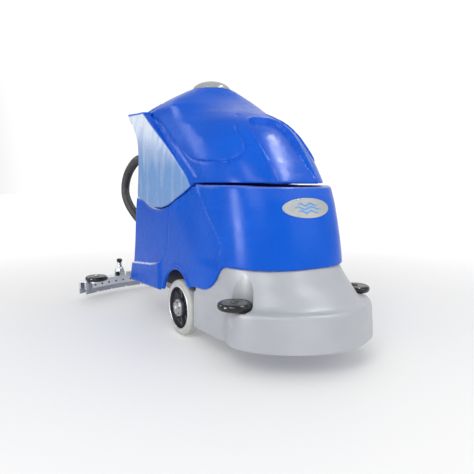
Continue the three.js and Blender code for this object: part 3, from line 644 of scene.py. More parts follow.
RIDGE = [[-120, 606], [-137, 585], [-206, 520], [-262, 469], [-300, 422], [-315, 393], [-307, 345]]
DOOR_LINE = [[104, 560], [110, 498], [120, 400], [126, 328], [150, 296], [214, 269]]
LEDGE = [[178, 292], [195, 273], [234, 260], [295, 250], [511, 230], [700, 222]]


def lower_features(x, y, z):
    """The lower tank's ridge, door line, ledge over the skirt and the lip round the wheel arch."""
    to_side = ease(np.abs(x), 150, 215)
    away, _ = near_line(RIDGE, y, z)
    ridge_y = np.interp(z, [p[1] for p in RIDGE[::-1]], [p[0] for p in RIDGE[::-1]])
    behind = y > ridge_y
    fade = ease(z, 300, 345) * to_side
    hollow = -6.5 * ease(away, 0, 10) * (1 - ease(away, 70, 210)) * behind * fade
    crest = 2.6 * np.exp(-((away / 6) ** 2)) * fade
    door, _ = near_line(DOOR_LINE, y, z)
    groove = -1.6 * np.exp(-((door / 4) ** 2)) * to_side * ease(z, 262, 280)
    bead = 3.5 * (1 - ease(split(y) - z, 9, 16)) * ease(y, 120, 190)
    ledge_z = np.interp(y, [p[0] for p in LEDGE], [p[1] for p in LEDGE])
    skirt = 10 * (1 - ease(z - ledge_z, -3, 4)) * ease(y, 176, 205)
    reach = np.hypot(y - ARCH[0], z - ARCH[1]) - ARCH[2]
    lip = 5 * (1 - ease(reach, 9, 20)) * (np.abs(x) > 200) * (y < 172) * (y > -110)
    tongue = 3 * (1 - ease(z, 236, 300)) * (y < -60) * (np.abs(x) > 150)
    return hollow + crest + groove + bead + skirt + lip + tongue


LOWER_LIP = 5
INNER_STEP = 10
SHELL_CREASE = 32


def lower_tank():
    shell = Shell(LOWER_ROWS, (64, 150, 8, 16))
    edge = lower_edge()
    low = shell.height(edge, 200)
    high = shell.height(lambda y: split(y) - SPLIT_GAP - 5 * ease(-y, 330, 420), 560)
    halves = shell.rings(low, high, np.arange(150, 606, 4), LOWER_LIP, LOWER_LIP)
    rings = full(halves)
    push(rings, lower_features, 0, len(rings))
    roof = np.maximum(low + 2, TANK_FLOOR)
    inner = []
    for z in (low, np.maximum(low, 0.5 * (low + roof)), roof):
        x, y = shell.half(z, INNER_STEP)
        inner.append(np.stack([x, y, z], 1))
    rings = np.concatenate([full(np.array(inner))[::-1], rings])
    piece = skin("lower_tank_shell", rings, shell.half_count)
    bay = block("bay", (-182, 92, 159), (182, 430, 900))
    filler = drum("filler", 52, 60, at(0, -330, 590))
    under = block("under", (-182, 92, 100), (182, 430, 330))
    combine(piece, [bay, filler, under], "DIFFERENCE")
    clean(piece, SHELL_CREASE)
    # Its blue carries a painted highlight on ledges that face up.
    return put(piece, BLUE_LEDGE_LIT, "chassis", "solution_tank")


# ---- upper tank ----
UPPER_ROWS = [
    [500, 236, -452, -100, 450, 14, 2.4],
    [588, 236, -445, -100, 450, 14, 2.4],
    [592, 236, -443, -100, 404, 14, 2.4],
    [606, 236, -440, -100, 404, 14, 2.4],
    [660, 233, -407, -90, 404, 14, 2.4],
    [706, 230, -371, -70, 404, 14, 2.4],
    [779, 224, -309, 0, 402, 14, 2.35],
    [800, 221, -289, 28, 394, 14, 2.3],
    [835, 217, -245, 80, 420, 30, 2.2],
    [880, 214, -152, 140, 446, 70, 2.1],
    [905, 214, -84, 160, 462, 120, 2.1],
    [928, 215, -30, 176, 474, 154, 2.1],
    [950, 202, 12, 184, 446, 145, 2.1],
    [966, 186, 38, 188, 408, 134, 2.1],
    [982, 162, 60, 190, 366, 117, 2.1],
    [998, 132, 78, 190, 326, 95, 2.1],
    [1014, 102, 96, 190, 286, 73, 2.1],
]
WING_FRONT = [[500, -120], [625, -49], [698, 45], [758, 133], [838, 260], [928, 400]]
WING_TAIL = [[500, 452], [740, 424], [792, 430], [861, 472], [910, 530], [936, 552]]
WING_NEAR = 239
WING_FAR = 264
WING_RAMP = 12
COCKPIT_X = 214
WING_TOP = 936
RIM_X = 196
RIM_LOW = 917

# Features of the upper tank: [bearing, z], the bearing being degrees round (0, 100) from the nose.
PAD = [
    [133, 869], [118, 835], [101, 798], [86, 772], [73, 750], [63, 728], [55, 709], [47, 698],
    [35, 691], [29, 689], [25, 692], [22, 704], [20, 727], [20, 763], [22.5, 799], [22.5, 829],
    [18, 873], [14, 960], [60, 1000], [120, 960],
]
GROOVE = [[142, 906], [128, 872], [112, 828], [88, 770], [68, 716], [55, 672], [48, 640]]
# The scoop's outline seen from the front, as [x, z].
SCOOP = [
    [0, 857], [40, 856], [62, 850], [77, 837], [86, 817], [91, 785], [91, 750], [89, 720], [88, 681],
    [90, 634], [90, 590], [0, 590],
]


def dense(points, count):
    """Every run between neighbouring points cut into count steps."""
    out = []
    for (a0, b0), (a1, b1) in zip(points, points[1:]):
        for t in np.linspace(0, 1, count, endpoint=False):
            out.append((a0 + (a1 - a0) * t, b0 + (b1 - b0) * t))
    return out


def bearing(x, y):
    return np.degrees(np.arctan2(np.abs(x), 100 - y))


def on_surface(shell, points):
    """Places on one side of a shell from [bearing, z], with steps between them filled in."""
    out = []
    for b, z in dense(points, 12):
        x, y = shell.half(np.full(shell.half_count, z))
        around = bearing(x, y)
        out.append((np.interp(b, around, x), np.interp(b, around, y), z))
    return np.array(out)


def from_curve(places, x, y, z):
    """Distance of each grid point from a run of places; the shells are mirrored, so x counts as |x|."""
    grid = np.stack([np.abs(x), y, z], -1).reshape(-1, 3)
    best = np.full(len(grid), 1e9)
    for start in range(0, len(places), 24):
        gap = grid[:, None, :] - places[None, start:start + 24]
        best = np.minimum(best, np.sqrt((gap**2).sum(2)).min(1))
    return best.reshape(x.shape)


def upper_features(shell):
    """The upper tank's raised pads, the groove along the wing and the scoop in its front."""
    pad_line = on_surface(shell, PAD[:17])
    groove_line = on_surface(shell, GROOVE)
    scoop_line = []
    for at_x, z in dense(SCOOP[:-1], 8):
        x, y = shell.half(np.full(shell.half_count, z))
        front = slice(0, int(np.argmax(x)) + 1)
        scoop_line.append((at_x, np.interp(at_x, x[front], y[front]), z))
    scoop_line = np.array(scoop_line)

    def amount(x, y, z):
        within = inside(PAD, bearing(x, y), z)
        away = from_curve(pad_line, x, y, z)
        away = np.where(within, away, -away)
        pad = 5.5 * ease(away, -3, 3) * (1 - ease(z, 835, 905))
        moat = -2.4 * np.exp(-(((away + 5) / 3.5) ** 2)) * (1 - ease(z, 850, 930))
        beside = from_curve(groove_line, x, y, z)
        groove = -3.2 * np.exp(-((beside / 9) ** 2))
        hollow = inside(SCOOP, np.abs(x), z) & (y < 60)
        rim = from_curve(scoop_line, x, y, z)
        depth = np.interp(z, [606, 640, 700, 780, 850], [1, 5, 12, 19, 20])
        scooped = np.where(hollow, -depth * ease(rim, 0, 9), 1.8 * np.exp(-((rim - 5) / 6) ** 2))
        return pad + moat + groove + scooped * (y < 60)

    return amount


def closed_rings(name, rings):
    """A closed solid through rings of points given in millimetres from the axle, from the bottom up."""
    rows, columns, _ = rings.shape
    points = rings.reshape(-1, 3) * MM + np.array((0, AXLE_Y, 0))
    piece = solid(name, points, tube_faces(rows, columns))
    mesh = bmesh.new()
    mesh.from_mesh(piece.data)
    big = [f for f in mesh.faces if len(f.verts) > 4]
    bmesh.ops.triangulate(mesh, faces=big)
    mesh.to_mesh(piece.data)
    mesh.free()
    return piece


def wing(side):
    """The flared wing beside the handle: a solid from the parting line up to its pointed tip."""
    rings = []
    levels = np.concatenate([np.arange(508, 930, 5.0), [930, 932.5, 934.5, WING_TOP]])
    start_of, tail_of = smooth_line(WING_FRONT), smooth_line(WING_TAIL)
    body = curve(UPPER_ROWS)
    for level in levels:
        half = float(body(level)[0])
        start, tail = float(start_of(level)), float(tail_of(level))
        inset = 5 * (1 - math.sqrt(1 - max(0, (level - WING_TOP + 6) / 6) ** 2))
        back = np.linspace(0, 1, 42)[1:]
        ramp = np.linspace(0, 1, 7)
        first = half + 2 + 0.8 * (WING_NEAR - half)
        outer = [(half - 2 + (first - half + 2) * ease(t, 0, 1), start + WING_RAMP * t) for t in ramp]
        near = start + WING_RAMP
        outer += [(first + (WING_FAR - first) * t, near + (tail - 12 - near) * t) for t in back]
        edge = outer[-1][0]
        bend = np.radians(np.linspace(15, 90, 6))
        outer += [(edge - 11 + 11 * math.cos(a), tail - 12 + 12 * math.sin(a)) for a in bend]
        outer += [(COCKPIT_X + 8, tail), (COCKPIT_X + 2, tail - 2), (COCKPIT_X, tail - 8)]
        inner_y = min(max(388.0, start + 4), tail - 12)
        rim = (COCKPIT_X - RIM_X) * (level > RIM_LOW)
        for t in np.linspace(0, 1, 9)[1:]:
            y = tail - 8 + (inner_y - tail + 8) * t
            outer.append((COCKPIT_X - rim * (1 - ease(y, 430, 466)), y))
        outer += [(half - 30, inner_y - 2), (half - 30, start + 2)]
        ring = np.array(outer)
        centre = ring.mean(0)
        ring += (centre - ring) / np.linalg.norm(centre - ring, axis=1)[:, None] * inset
        rings.append(np.column_stack([ring, np.full(len(ring), level)]))
    rings = np.array(rings)
    rings[..., 2] = np.maximum(rings[..., 2], split(rings[..., 1]))
    lip = np.clip(1 - (rings[..., 2] - split(rings[..., 1])) / 5, 0, 1)
    rings[..., 0] -= 3.5 * lip * lip * (rings[..., 0] > COCKPIT_X + 5)
    rings[..., 0] *= side
    return closed_rings("wing", rings)


# The crest that joins the dome to each wing: [z, how far out it reaches along CREST_WAY, x there].
CREST = [
    [922, 374, 212], [930, 372, 212], [937, 366, 208], [943, 346, 204], [950, 328, 200],
    [958, 309, 192], [964, 293, 186],
]
CREST_WAY = (0.929, 0.369)


def crest(side):
    rings = []
    heights, reaches, widths = np.array(CREST, float).T
    for level in np.linspace(922, 964, 22):
        x = float(np.interp(level, heights, widths))
        y = (float(np.interp(level, heights, reaches)) - CREST_WAY[0] * x) / CREST_WAY[1]
        bend = np.radians(np.linspace(-15, 90, 8))
        ring = [(x - 1, 230), (x - 0.4, y - 60)]
        ring += [(x - 16 + 16 * math.cos(a), y + 16 * math.sin(a)) for a in bend]
        ring += [(150, y + 16), (150, 230)]
        rings.append(np.column_stack([np.array(ring) * (side, 1), np.full(len(ring), level)]))
    return closed_rings("crest", np.array(rings))


def upper_tank():
    shell = Shell(UPPER_ROWS, (150, 110, 14, 18))
    low = shell.height(split, 560)
    high = np.full(shell.half_count, float(UPPER_ROWS[-1][0]))
    levels = np.concatenate([np.arange(512, 586, 6), [587.5, 590, 592.5, 595], np.arange(600, 1011, 3)])
    rings = full(shell.rings(low, high, levels, 5, 3))
    push(rings, upper_features(shell), 0, len(rings) - 3)
    piece = skin("upper_tank_shell", rings, shell.half_count)
    combine(piece, [form(side) for side in SIDES.values() for form in (wing, crest)], "UNION")
    bay = block("bay", (-206.5, 282, 591), (206.5, 460, 729.5))
    cockpit = block("cockpit", (-COCKPIT_X, 392, 800), (COCKPIT_X, 700, RIM_LOW + 1))
    rim = block("rim", (-RIM_X, 392, RIM_LOW), (RIM_X, 700, 1100))
    mouth = drum("mouth", 68, 60, at(0, 194, 1000))
    inside_tank = lathe("hollow", [[0, -110], [120, -110], [100, 90], [0, 90]], at(0, 160, 880))
    combine(piece, [mouth, inside_tank, bay, cockpit, rim], "DIFFERENCE")
    clean(piece, SHELL_CREASE)
    # Its blue carries a painted reflection on the wings' face.
    return put(piece, BLUE_WING_SHEEN, "upper_tank", "recovery_tank")


# ---- base cover ----
BASE_ROWS = [
    [80, 290, -681, -452, -124, 12, 1.75],
    [150, 286, -676, -452, -124, 12, 1.75],
    [186, 283, -671, -452, -124, 12, 1.75],
    [196, 279, -667, -451, -124, 12, 1.76],
    [201, 271, -657, -448, -124, 12, 1.78],
    [205, 252, -638, -432, -124, 12, 1.8],
    [212, 246, -625, -420, -124, 12, 1.83],
    [225, 243, -611, -400, -124, 12, 1.9],
    [252, 242, -586, -340, -124, 12, 2.1],
    [290, 244, -548, -262, -124, 12, 2.25],
    [321.6, 248, -517, -200, -124, 12, 2.4],
]
# The half width behind the deck, as [height, x].
WAIST_X = [[80, 262], [199, 261], [207, 253], [252, 250], [322, 248]]
WAIST = 110
ROLLER_AT = (267, -440)
ROLLER_R = 58
SCALLOP_GAP = 3


def base_side(half, middle, y, inset, z):
    heights, widths = np.array(WAIST_X, float).T
    waist = np.interp(z, heights, widths) - inset
    return waist + (half - waist) * (1 - ease(y - middle, 0, WAIST))


def circle_push(x, y, normal_x, normal_y, centre, radius):
    """How far a place must move along its normal to lie on a round post's surface."""
    dx, dy = centre[0] - np.abs(x), centre[1] - y
    along = dx * normal_x + dy * normal_y
    off = dx * dx + dy * dy - along * along
    reach = along + np.sqrt(np.maximum(radius * radius - off, 0))
    return np.where(off < radius * radius, np.maximum(reach, 0), 0)


def base_features(x, y, z):
    """A boss under each bumper roller and the shallow vault below the nameplate."""
    nx = np.clip((np.abs(x)) / 260, 0, 1)
    ny = -np.sqrt(1 - nx * nx)
    boss = circle_push(x, y, nx, ny, ROLLER_AT, 25) * ease(z, 140, 152) * (1 - ease(z, 200, 204))
    vault = -5 * np.exp(-(((z - 268) / 34) ** 2)) * np.exp(-((x / 130) ** 2)) * (y < -350)
    return boss + vault


def base_cover():
    """The deck, hollow from below, with a scallop round each bumper roller."""
    shell = Shell(BASE_ROWS, (110, 80, 5, 14), base_side)
    low = shell.height(lambda y: 80 - 14 * ease(y, -400, -330), 80)
    high = np.full(shell.half_count, BASE_ROWS[-1][0])
    levels = np.concatenate([np.arange(84, 184, 6), np.arange(186, 214, 2), np.arange(216, 318, 4)])
    rings = full(shell.rings(low, high, levels, 4, 2))
    push(rings, base_features, 4, len(rings) - 2)
    inner = []
    for z, inset in ((40.0, 7), (150.0, 7), (196.0, 9), (214.0, 13), (260.0, 14), (313.0, 14)):
        z = np.full(low.shape, z)
        x, y = shell.half(z, inset)
        inner.append(np.stack([x, y, z], 1))
    piece = skin("deck_shell", rings, shell.half_count)
    hollow = skin("hollow", full(np.array(inner)), shell.half_count)
    liners = []
    cutters = [block("back", (-182, -160, 40), (182, 0, 308)), hollow]
    for side in SIDES.values():
        x, y = side * ROLLER_AT[0], ROLLER_AT[1]
        wide = ROLLER_R + SCALLOP_GAP
        slot = [[0, 196.2], [wide, 196.2], [wide, 230], [wide + 3, 340], [0, 340]]
        cutters.append(lathe("slot", slot, at(x, y, 0), "z", 96))
        liner = [[0, 190], [wide + 6, 190], [wide + 6, 230], [wide + 9, 350], [0, 350]]
        liners.append(lathe("liner", liner, at(x, y, 0), "z", 96))
    combine(hollow, liners, "DIFFERENCE")
    combine(piece, cutters, "DIFFERENCE")
    clean(piece, 35)
    return put(piece, GREY, "chassis", "base_cover")


# ---- hoses ----
def smooth_path(points, step):
    """Places a step apart along a centripetal curve through the points."""
    p = [2 * points[0] - points[1], *points, 2 * points[-1] - points[-2]]
    out = []
    for a, b, c, d in zip(p, p[1:], p[2:], p[3:]):
        t1 = (b - a).length ** 0.5
        t2 = t1 + (c - b).length ** 0.5
        t3 = t2 + (d - c).length ** 0.5
        count = max(2, int((c - b).length / step))
        for k in range(count):
            t = t1 + (t2 - t1) * k / count
            a1 = a * ((t1 - t) / t1) + b * (t / t1)
            a2 = b * ((t2 - t) / (t2 - t1)) + c * ((t - t1) / (t2 - t1))
            a3 = c * ((t3 - t) / (t3 - t2)) + d * ((t - t2) / (t3 - t2))
            b1 = a1 * ((t2 - t) / t2) + a2 * (t / t2)
            b2 = a2 * ((t3 - t) / (t3 - t1)) + a3 * ((t - t1) / (t3 - t1))
            out.append(b1 * ((t2 - t) / (t2 - t1)) + b2 * ((t - t1) / (t2 - t1)))
    return out + [points[-1]]


HOSE_R = 23
HOSE_PITCH = 9
HOSE_RIPPLE = 1.1
HOSE_SIDES = 24
HOSE_STEP = 0.00225
CUFF = (-130, 700)
ELBOW_Y = 958
HOSE_UPPER = [
    (CUFF[0], 426, CUFF[1]), (CUFF[0], 446, CUFF[1]), (-134, 482, 708), (-146, 540, 724),
    (-162, 610, 734), (-172, 676, 728), (-178, 742, 698), (-180, 806, 652), (-180, 842, 598),
    (-180, 840, 550), (-179, 800, 504), (-176, 732, 460), (-170, 668, 426), (-160, 612, 404),
    (-152, 572, 384), (-150, 566, 361), (-150, 566, 345.4),
]
HOSE_LOWER = [
    (-150, 566, 344.6), (-150, 566, 329), (-146, 576, 302), (-124, 612, 268), (-84, 690, 240),
    (-36, 790, 232), (-8, 876, 240), (0, 946, 228), (0, ELBOW_Y, 192), (0, ELBOW_Y, 165),
]


def hose(name, route, node):
    """A spiral hose along its route, between the two bodies that it joins."""
    path = smooth_path([at(*p) for p in route], HOSE_STEP)
    rings = []
    normal = Vector((1, 0, 0))
    travelled = 0.0
    for k, here in enumerate(path):
        ahead = (path[min(k + 1, len(path) - 1)] - path[max(k - 1, 0)]).normalized()
        normal = (normal - ahead * normal.dot(ahead)).normalized()
        across = ahead.cross(normal)
        if k:
            travelled += (here - path[k - 1]).length
        for i in range(HOSE_SIDES):
            a = 2 * math.pi * i / HOSE_SIDES
            wave = math.cos(2 * math.pi * travelled / (HOSE_PITCH * MM) - a)
            radius = (HOSE_R - HOSE_RIPPLE + HOSE_RIPPLE * wave) * MM
            rings.append(here + (normal * math.cos(a) + across * math.sin(a)) * radius)
    piece = new_mesh(name, rings, tube_faces(len(path), HOSE_SIDES))
    piece.data.shade_smooth()
    piece.data.materials.append(HOSE)
    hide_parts(node)
    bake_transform(piece)


hose("suction_hose_upper", HOSE_UPPER, "hose_upper")
hose("suction_hose_lower", HOSE_LOWER, "hose_lower")
lower_tank()
upper_tank()
base_cover()


# ---- wheels ----
# Turned profiles, as [radius, distance out from the wheel's middle].
RIM = [
    [11, -20], [28, -20], [28, -8], [70, -6], [76, -20], [90, -20], [90, 22], [85, 23.5],
    [82, 22], [79, 8], [74, 1], [54, -2], [40, 2], [38, 14], [36, 19.5], [11, 19.5],
]
LIP = [[83, 21.5], [91, 21.5], [91.5, 24], [88, 25.5], [83.5, 24], [83, 21.5]]
HUB_CAP = [[0, 19.8], [35, 19.8], [35.5, 25], [31, 31], [22, 34.5], [12, 35.5], [0, 35.5]]
NUT = [[0, 35.2], [9, 35.2], [8.5, 39], [0, 39.2]]
HUB_SLOTS = 7
RIM_RIBS = 8
RIB_LOW = (-4, -2.4, 36)
RIB_SIZE = (13, 4.8, 42)


def wheels():
    for name, side in SIDES.items():
        body = "wheel_" + name
        centre = middle_of("tyre_" + name)
        half, _, radius = (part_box("tyre_" + name)[1] - centre) / MM
        tread = [
            [90.5, -half], [radius - 10, -half], [radius - 1.5, -half + 7], [radius, -half + 15],
            [radius, half - 15], [radius - 1.5, half - 7], [radius - 10, half], [90.5, half],
        ]
        for part, profile, softness, segments, material, *nodes in (
            ("tyre_fine_", tread, 5, 96, TYRE, "tyre_" + name),
            ("rim_fine_", RIM, 3, 96, RIM_DARK, "rim_" + name),
            ("rim_lip_", LIP, 1, 96, ALLOY),
            ("hub_", HUB_CAP, 2, 72, HUB, "hub_cap_" + name),
            ("axle_nut_", NUT, 1, 6, STEEL),
        ):
            closing = profile[:1] if profile[0][0] else []
            outline = [[r, side * along] for r, along in rounded(profile, softness) + closing]
            put(lathe(part + name, outline, centre, "x", segments), material, body, *nodes)
        slots = []
        for k in range(HUB_SLOTS):
            turn = Matrix.Rotation((k + 0.5) * 2 * math.pi / HUB_SLOTS, 4, "X")
            lean = Matrix.Rotation(side * math.radians(14), 4, "Y")
            slot = drum("slot", 4.2, 1, (0, 0, 0), "x", 20)
            slot.data.transform(Matrix.Diagonal((1, 1, 2.1, 1)))
            slot.data.transform(Matrix.Translation((side * 32.2 * MM, 0, 22.5 * MM)) @ lean)
            slot.data.transform(Matrix.Translation(centre) @ turn)
            slots.append(slot)
        put(join("hub_slots_" + name, slots), RIM_DARK, body)
        ribs = []
        for k in range(RIM_RIBS):
            turn = Matrix.Rotation(k * 2 * math.pi / RIM_RIBS, 4, "X")
            rib = block("rib", (0, 0, 0), (1, 1, 1))
            for v in rib.data.vertices:
                unit = (v.co - at(0, 0, 0)) / MM
                x, y, z = (a + b * c for a, b, c in zip(RIB_LOW, RIB_SIZE, unit))
                v.co = turn @ (Vector((side * x, y, z)) * MM) + centre
            ribs.append(rib)
        put(join("rim_ribs_" + name, ribs), RIM_DARK, body)


wheels()


# ---- rollers, knobs and squeegee ----
def rollers():
    for name in SIDES:
        for node, body in (
            ("bumper_roller_" + name, "front_roller_" + name),
            ("end_roller_" + name, "rear_roller_" + name),
        ):
            low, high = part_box(node)
            centre = Vector(((low.x + high.x) / 2, (low.y + high.y) / 2, low.z))
            radius = (high.x - low.x) / 2 / MM
            ring = rounded([
                [9, -4.5], [radius - 12, -4.5], [radius - 3, -1], [radius, 7], [radius - 1, 15],
                [radius - 6, 20.5], [radius - 11, 21], [radius - 13, 19], [9, 19],
            ], 5, 4) + [[9, -4.5]]
            put(lathe(node + "_fine", ring, centre, "z", 72), ROLLER, body, node)
            # A cap on the roller's top, grey as a painted reflection on the glossy black.
            cap = rounded([[10, 19.1], [44.5, 19.1], [44, 20.4], [30, 21], [10, 21], [10, 19.1]], 0.6)
            put(lathe(node + "_cap", cap, centre, "z", 60), ROLLER_TOP_SHEEN, body)
            star = rounded([[0, 20.8], [17, 20.8], [15, 22.6], [0, 23], [0, 20.8]], 0.6)
            put(lathe(node + "_star", star, centre, "z", 60, 5, 0.3), ROLLER, body)


def star_knob(name, centre, axis, scale, body, *nodes):
    profile = rounded([[0, 0], [11, 0], [16, 8], [16.5, 15], [13, 21], [5, 23.6], [0, 23.6]], 3)
    knob = lathe(name, [[r * scale, h * scale] for r, h in profile], centre, axis, 60, 5, 0.2)
    put(knob, ROLLER, body, *nodes)


# The squeegee is bent round an arc about (0, ARC_Y); its strips have an inner and an outer radius.
ARC_Y = 138
ARC_HALF = math.radians(31.4)
FRONT_BLADE = (795.2, 799.4)
REAR_BLADE = (840.6, 844.8)
STRAP = (786.8, 789.8)
STRAP_FACE = 784.6
STRAP_SCREW = [[0, -2.4], [4.6, -2.4], [4.6, 0], [3.2, 2.2], [0, 2.4]]
BLADE_LOW = 28
BLADE_TOP = 89
NOTCH_STEP = math.radians(3.4)
NOTCH_HALF = math.radians(0.28)
NOTCH_DEPTH = 8


def arc(x_angle, radius):
    return np.array((radius * math.sin(x_angle), ARC_Y + radius * math.cos(x_angle)))


def arc_strip(name, radii, low_at, high, steps):
    """A strip bent round the squeegee's arc; low_at gives its lower edge along the arc."""
    inner, outer = radii
    points = []
    for k in range(steps + 1):
        a = ARC_HALF * (2 * k / steps - 1)
        low = low_at(a)
        for radius, z in ((inner, low), (outer, low), (outer, high), (inner, high)):
            points.append(at(*arc(a, radius), z))
    return solid(name, points, tube_faces(steps + 1, 4), 30)


def squeegee():
    def notched(angle):
        off = (angle + NOTCH_STEP / 2) % (2 * NOTCH_STEP) - NOTCH_STEP
        return BLADE_LOW + (NOTCH_DEPTH if abs(off) < NOTCH_HALF else 0)

    front = arc_strip("blade_front_fine", FRONT_BLADE, notched, BLADE_TOP, 360)
    put(front, BLADE, "squeegee", "squeegee_blade_front")
    rear = arc_strip("blade_rear_fine", REAR_BLADE, lambda a: BLADE_LOW, BLADE_TOP, 120)
    put(rear, BLADE, "squeegee", "squeegee_blade_rear")
    strap = arc_strip("strap_front", STRAP, lambda a: 60, 84, 120)
    bevel(strap, 0.0008)
    put(strap, STRIP, "squeegee")
    screws = []
    for k in range(-9, 10):
        angle = k * NOTCH_STEP
        place = at(*arc(angle, STRAP_FACE), 72)
        screw = lathe("screw", STRAP_SCREW, (0, 0, 0), "y", 16)
        screw.data.transform(Matrix.Translation(place) @ Matrix.Rotation(math.pi - angle, 4, "Z"))
        screws.append(screw)
    put(join("strap_screws", screws), BLACK, "squeegee")
    for name, side in SIDES.items():
        low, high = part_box("casting_" + name)
        x, y = (low.x + high.x) / 2, high.y - 26 * MM
        foot = Vector((x, y, low.z))
        cone = rounded([
            [0, 0], [29, 0], [29, 7], [27.5, 20], [24, 33], [18, 44], [11, 50], [9.5, 60],
            [9.5, 69.6], [0, 69.6],
        ], 4)
        put(lathe("casting_fine_" + name, cone, foot, "z", 48), ALLOY, "squeegee")
        knob_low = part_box("star_knob_" + name)[0]
        knob_at = Vector((x, y, knob_low.z))
        star_knob("star_knob_fine_" + name, knob_at, "z", 1.0, "knob_" + name, "star_knob_" + name)
        side_at = at(side * 232, 866, 117)
        star_knob("side_knob_" + name, side_at - Vector((0, 0.024, 0)), "y", 0.92, "squeegee")
        end = side * (ARC_HALF - math.radians(0.9))
        cheek = block("end_block_" + name, (-16, -5, 54), (16, 12, 94))
        cheek.data.transform(Matrix.Translation((0, -AXLE_Y, 0)))
        cheek.data.transform(Matrix.Translation(at(*arc(end, 782), 0)) @ Matrix.Rotation(-end, 4, "Z"))
        bevel(cheek, 0.003, 3)
        put(cheek, BLADE, "squeegee")


rollers()
squeegee()


# ---- lid, nameplate and panel ----
def lid():
    low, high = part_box("tank_lid")
    centre = Vector(((low.x + high.x) / 2, (low.y + high.y) / 2, low.z))
    dome = [[62, 0.2], [84.5, 0.2], [85, 2]]
    for a in np.radians(np.linspace(4, 90, 18)):
        dome.append([84 * math.cos(a), 3 + 39 * math.sin(a) ** 1.1])
    dome[-1][0] = 0
    inner = [[0, 38], [40, 32], [62, 16], [62, 0.2]]
    put(lathe("lid_dome", dome + inner, centre, "z", 96), DOME, "lid", "tank_lid")
    band = rounded([[78, 1], [86, 1], [86.4, 3], [85, 5], [80, 5.6], [78, 5], [78, 1]], 0.8)
    put(lathe("lid_band", band, centre, "z", 96), DOME, "lid")
    seat = rounded([[70, -1.6], [95, -1.6], [96, 0.2], [93, 1.2], [87.4, 1.2], [87.4, -0.4], [70, -0.4],
                    [70, -1.6]], 0.5)
    put(lathe("lid_seat", seat, centre, "z", 96), BLUE, "upper_tank")


PLATE_SIDES = 96
WAVE_STEPS = 48


def nameplate():
    """A blank oval plate on the tank's front, with a raised border and a plain wave motif."""
    middle = middle_of("nameplate")
    wide, _, tall = (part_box("nameplate")[1] - middle) / MM
    body = curve(LOWER_ROWS)

    def surface(x, z, lift):
        half, front, centre, _, _, power = body(z)
        y = centre - (centre - front) * (1 - (abs(x) / half) ** power) ** (1 / power)
        return at(x, y - lift, z)

    rows = [(r, 1.5) for r in (0.002, *np.linspace(0.1, 0.88, 8))]
    rows += [(0.9, 1.8), (0.92, 2.4), (0.95, 2.6), (0.98, 2.4), (1.0, 1.2), (0.99, -1)]
    points = []
    for share, lift in rows:
        for a in np.linspace(0, 2 * math.pi, PLATE_SIDES, endpoint=False):
            x, z = share * wide * math.cos(a), middle.z / MM + share * tall * math.sin(a)
            points.append(surface(x, z, lift))
    plate = solid("nameplate_fine", points, ring_faces(len(rows), PLATE_SIDES))
    put(plate, PLATE, "chassis", "nameplate")
    waves = []
    for offset, length in ((12, 44), (0, 58), (-12, 44)):
        points = []
        for k in range(WAVE_STEPS + 1):
            t = 2 * k / WAVE_STEPS - 1
            x = length * t
            z = middle.z / MM + offset + 4 * math.sin(math.pi * t * 2)
            thick = 2.4 * math.sqrt(max(1 - t * t, 0)) + 0.3
            for dz, lift in ((-thick, 1.2), (-thick, 2.2), (thick, 2.2), (thick, 1.2)):
                points.append(surface(x, z + dz, lift))
        waves.append(new_mesh("wave", points, tube_faces(WAVE_STEPS + 1, 4)))
    put(join("nameplate_waves", waves), MOTIF, "chassis")


def screw_heads(name, places, radius, material, body):
    """Pan heads whose faces look back, towards +Y."""
    heads = []
    for place in places:
        profile = rounded([[0, 0], [radius, 0], [radius * 0.92, radius * 0.4], [0, radius * 0.5]], 1)
        heads.append(lathe("head", profile, place, "y", 20))
    put(join(name, heads), material, body)


def panel_details():
    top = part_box("control_panel")[1].z
    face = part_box("brush_switch")[0].y + 5 * MM
    corners = [Vector((x, face, z)) for x in (-0.19, 0.19) for z in (top - 0.014, top - 0.088)]
    screw_heads("panel_screws", corners, 5, STEEL, "upper_tank")
    gauge = block("battery_gauge", (-150, 0, 842), (-104, 6, 862))
    gauge.data.transform(Matrix.Translation((0, face - AXLE_Y, 0)))
    bevel(gauge, 0.0015, 3)
    put(gauge, RIM_DARK, "upper_tank")
    lights = [
        lathe("light", rounded([[0, 0], [3, 0], [2.4, 2], [0, 2.4]], 0.6),
              Vector((x * MM, face + 5.8 * MM, 0.852)), "y", 20)
        for x in (-142, -132, -122, -112)
    ]
    put(join("gauge_lights", lights), RIM_WHITE, "upper_tank")


SLATS = 7
SLAT_LOW = 640
SLAT_STEP = 9


def rear_cover_details():
    low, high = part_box("rear_cover")
    corners = [
        Vector((x, high.y, z))
        for x in (low.x + 0.014, high.x - 0.014) for z in (low.z + 0.014, high.z - 0.014)
    ]
    screw_heads("rear_cover_screws", corners, 5.5, STEEL, "upper_tank")
    slats = []
    for k in range(SLATS):
        z = SLAT_LOW + SLAT_STEP * k
        slat = block("slat", (28, 0, z), (150, 5, z + 4))
        slat.data.transform(Matrix.Translation((0, high.y - AXLE_Y - 1 * MM, 0)))
        slats.append(slat)
    grille = join("vent_slats", slats)
    bevel(grille, 0.0012, 2)
    put(grille, BLACK, "upper_tank")


def charger_inlet():
    """The charging socket on the lower tank's back."""
    flange = lathe(
        "charger_inlet", rounded([[0, 0], [24, 0], [24, 3], [18, 5], [16, 14], [0, 14]], 1.5),
        at(-60, 508, 470), "y", 48,
    )
    put(flange, BLACK, "chassis")


lid()
nameplate()
panel_details()
rear_cover_details()
charger_inlet()


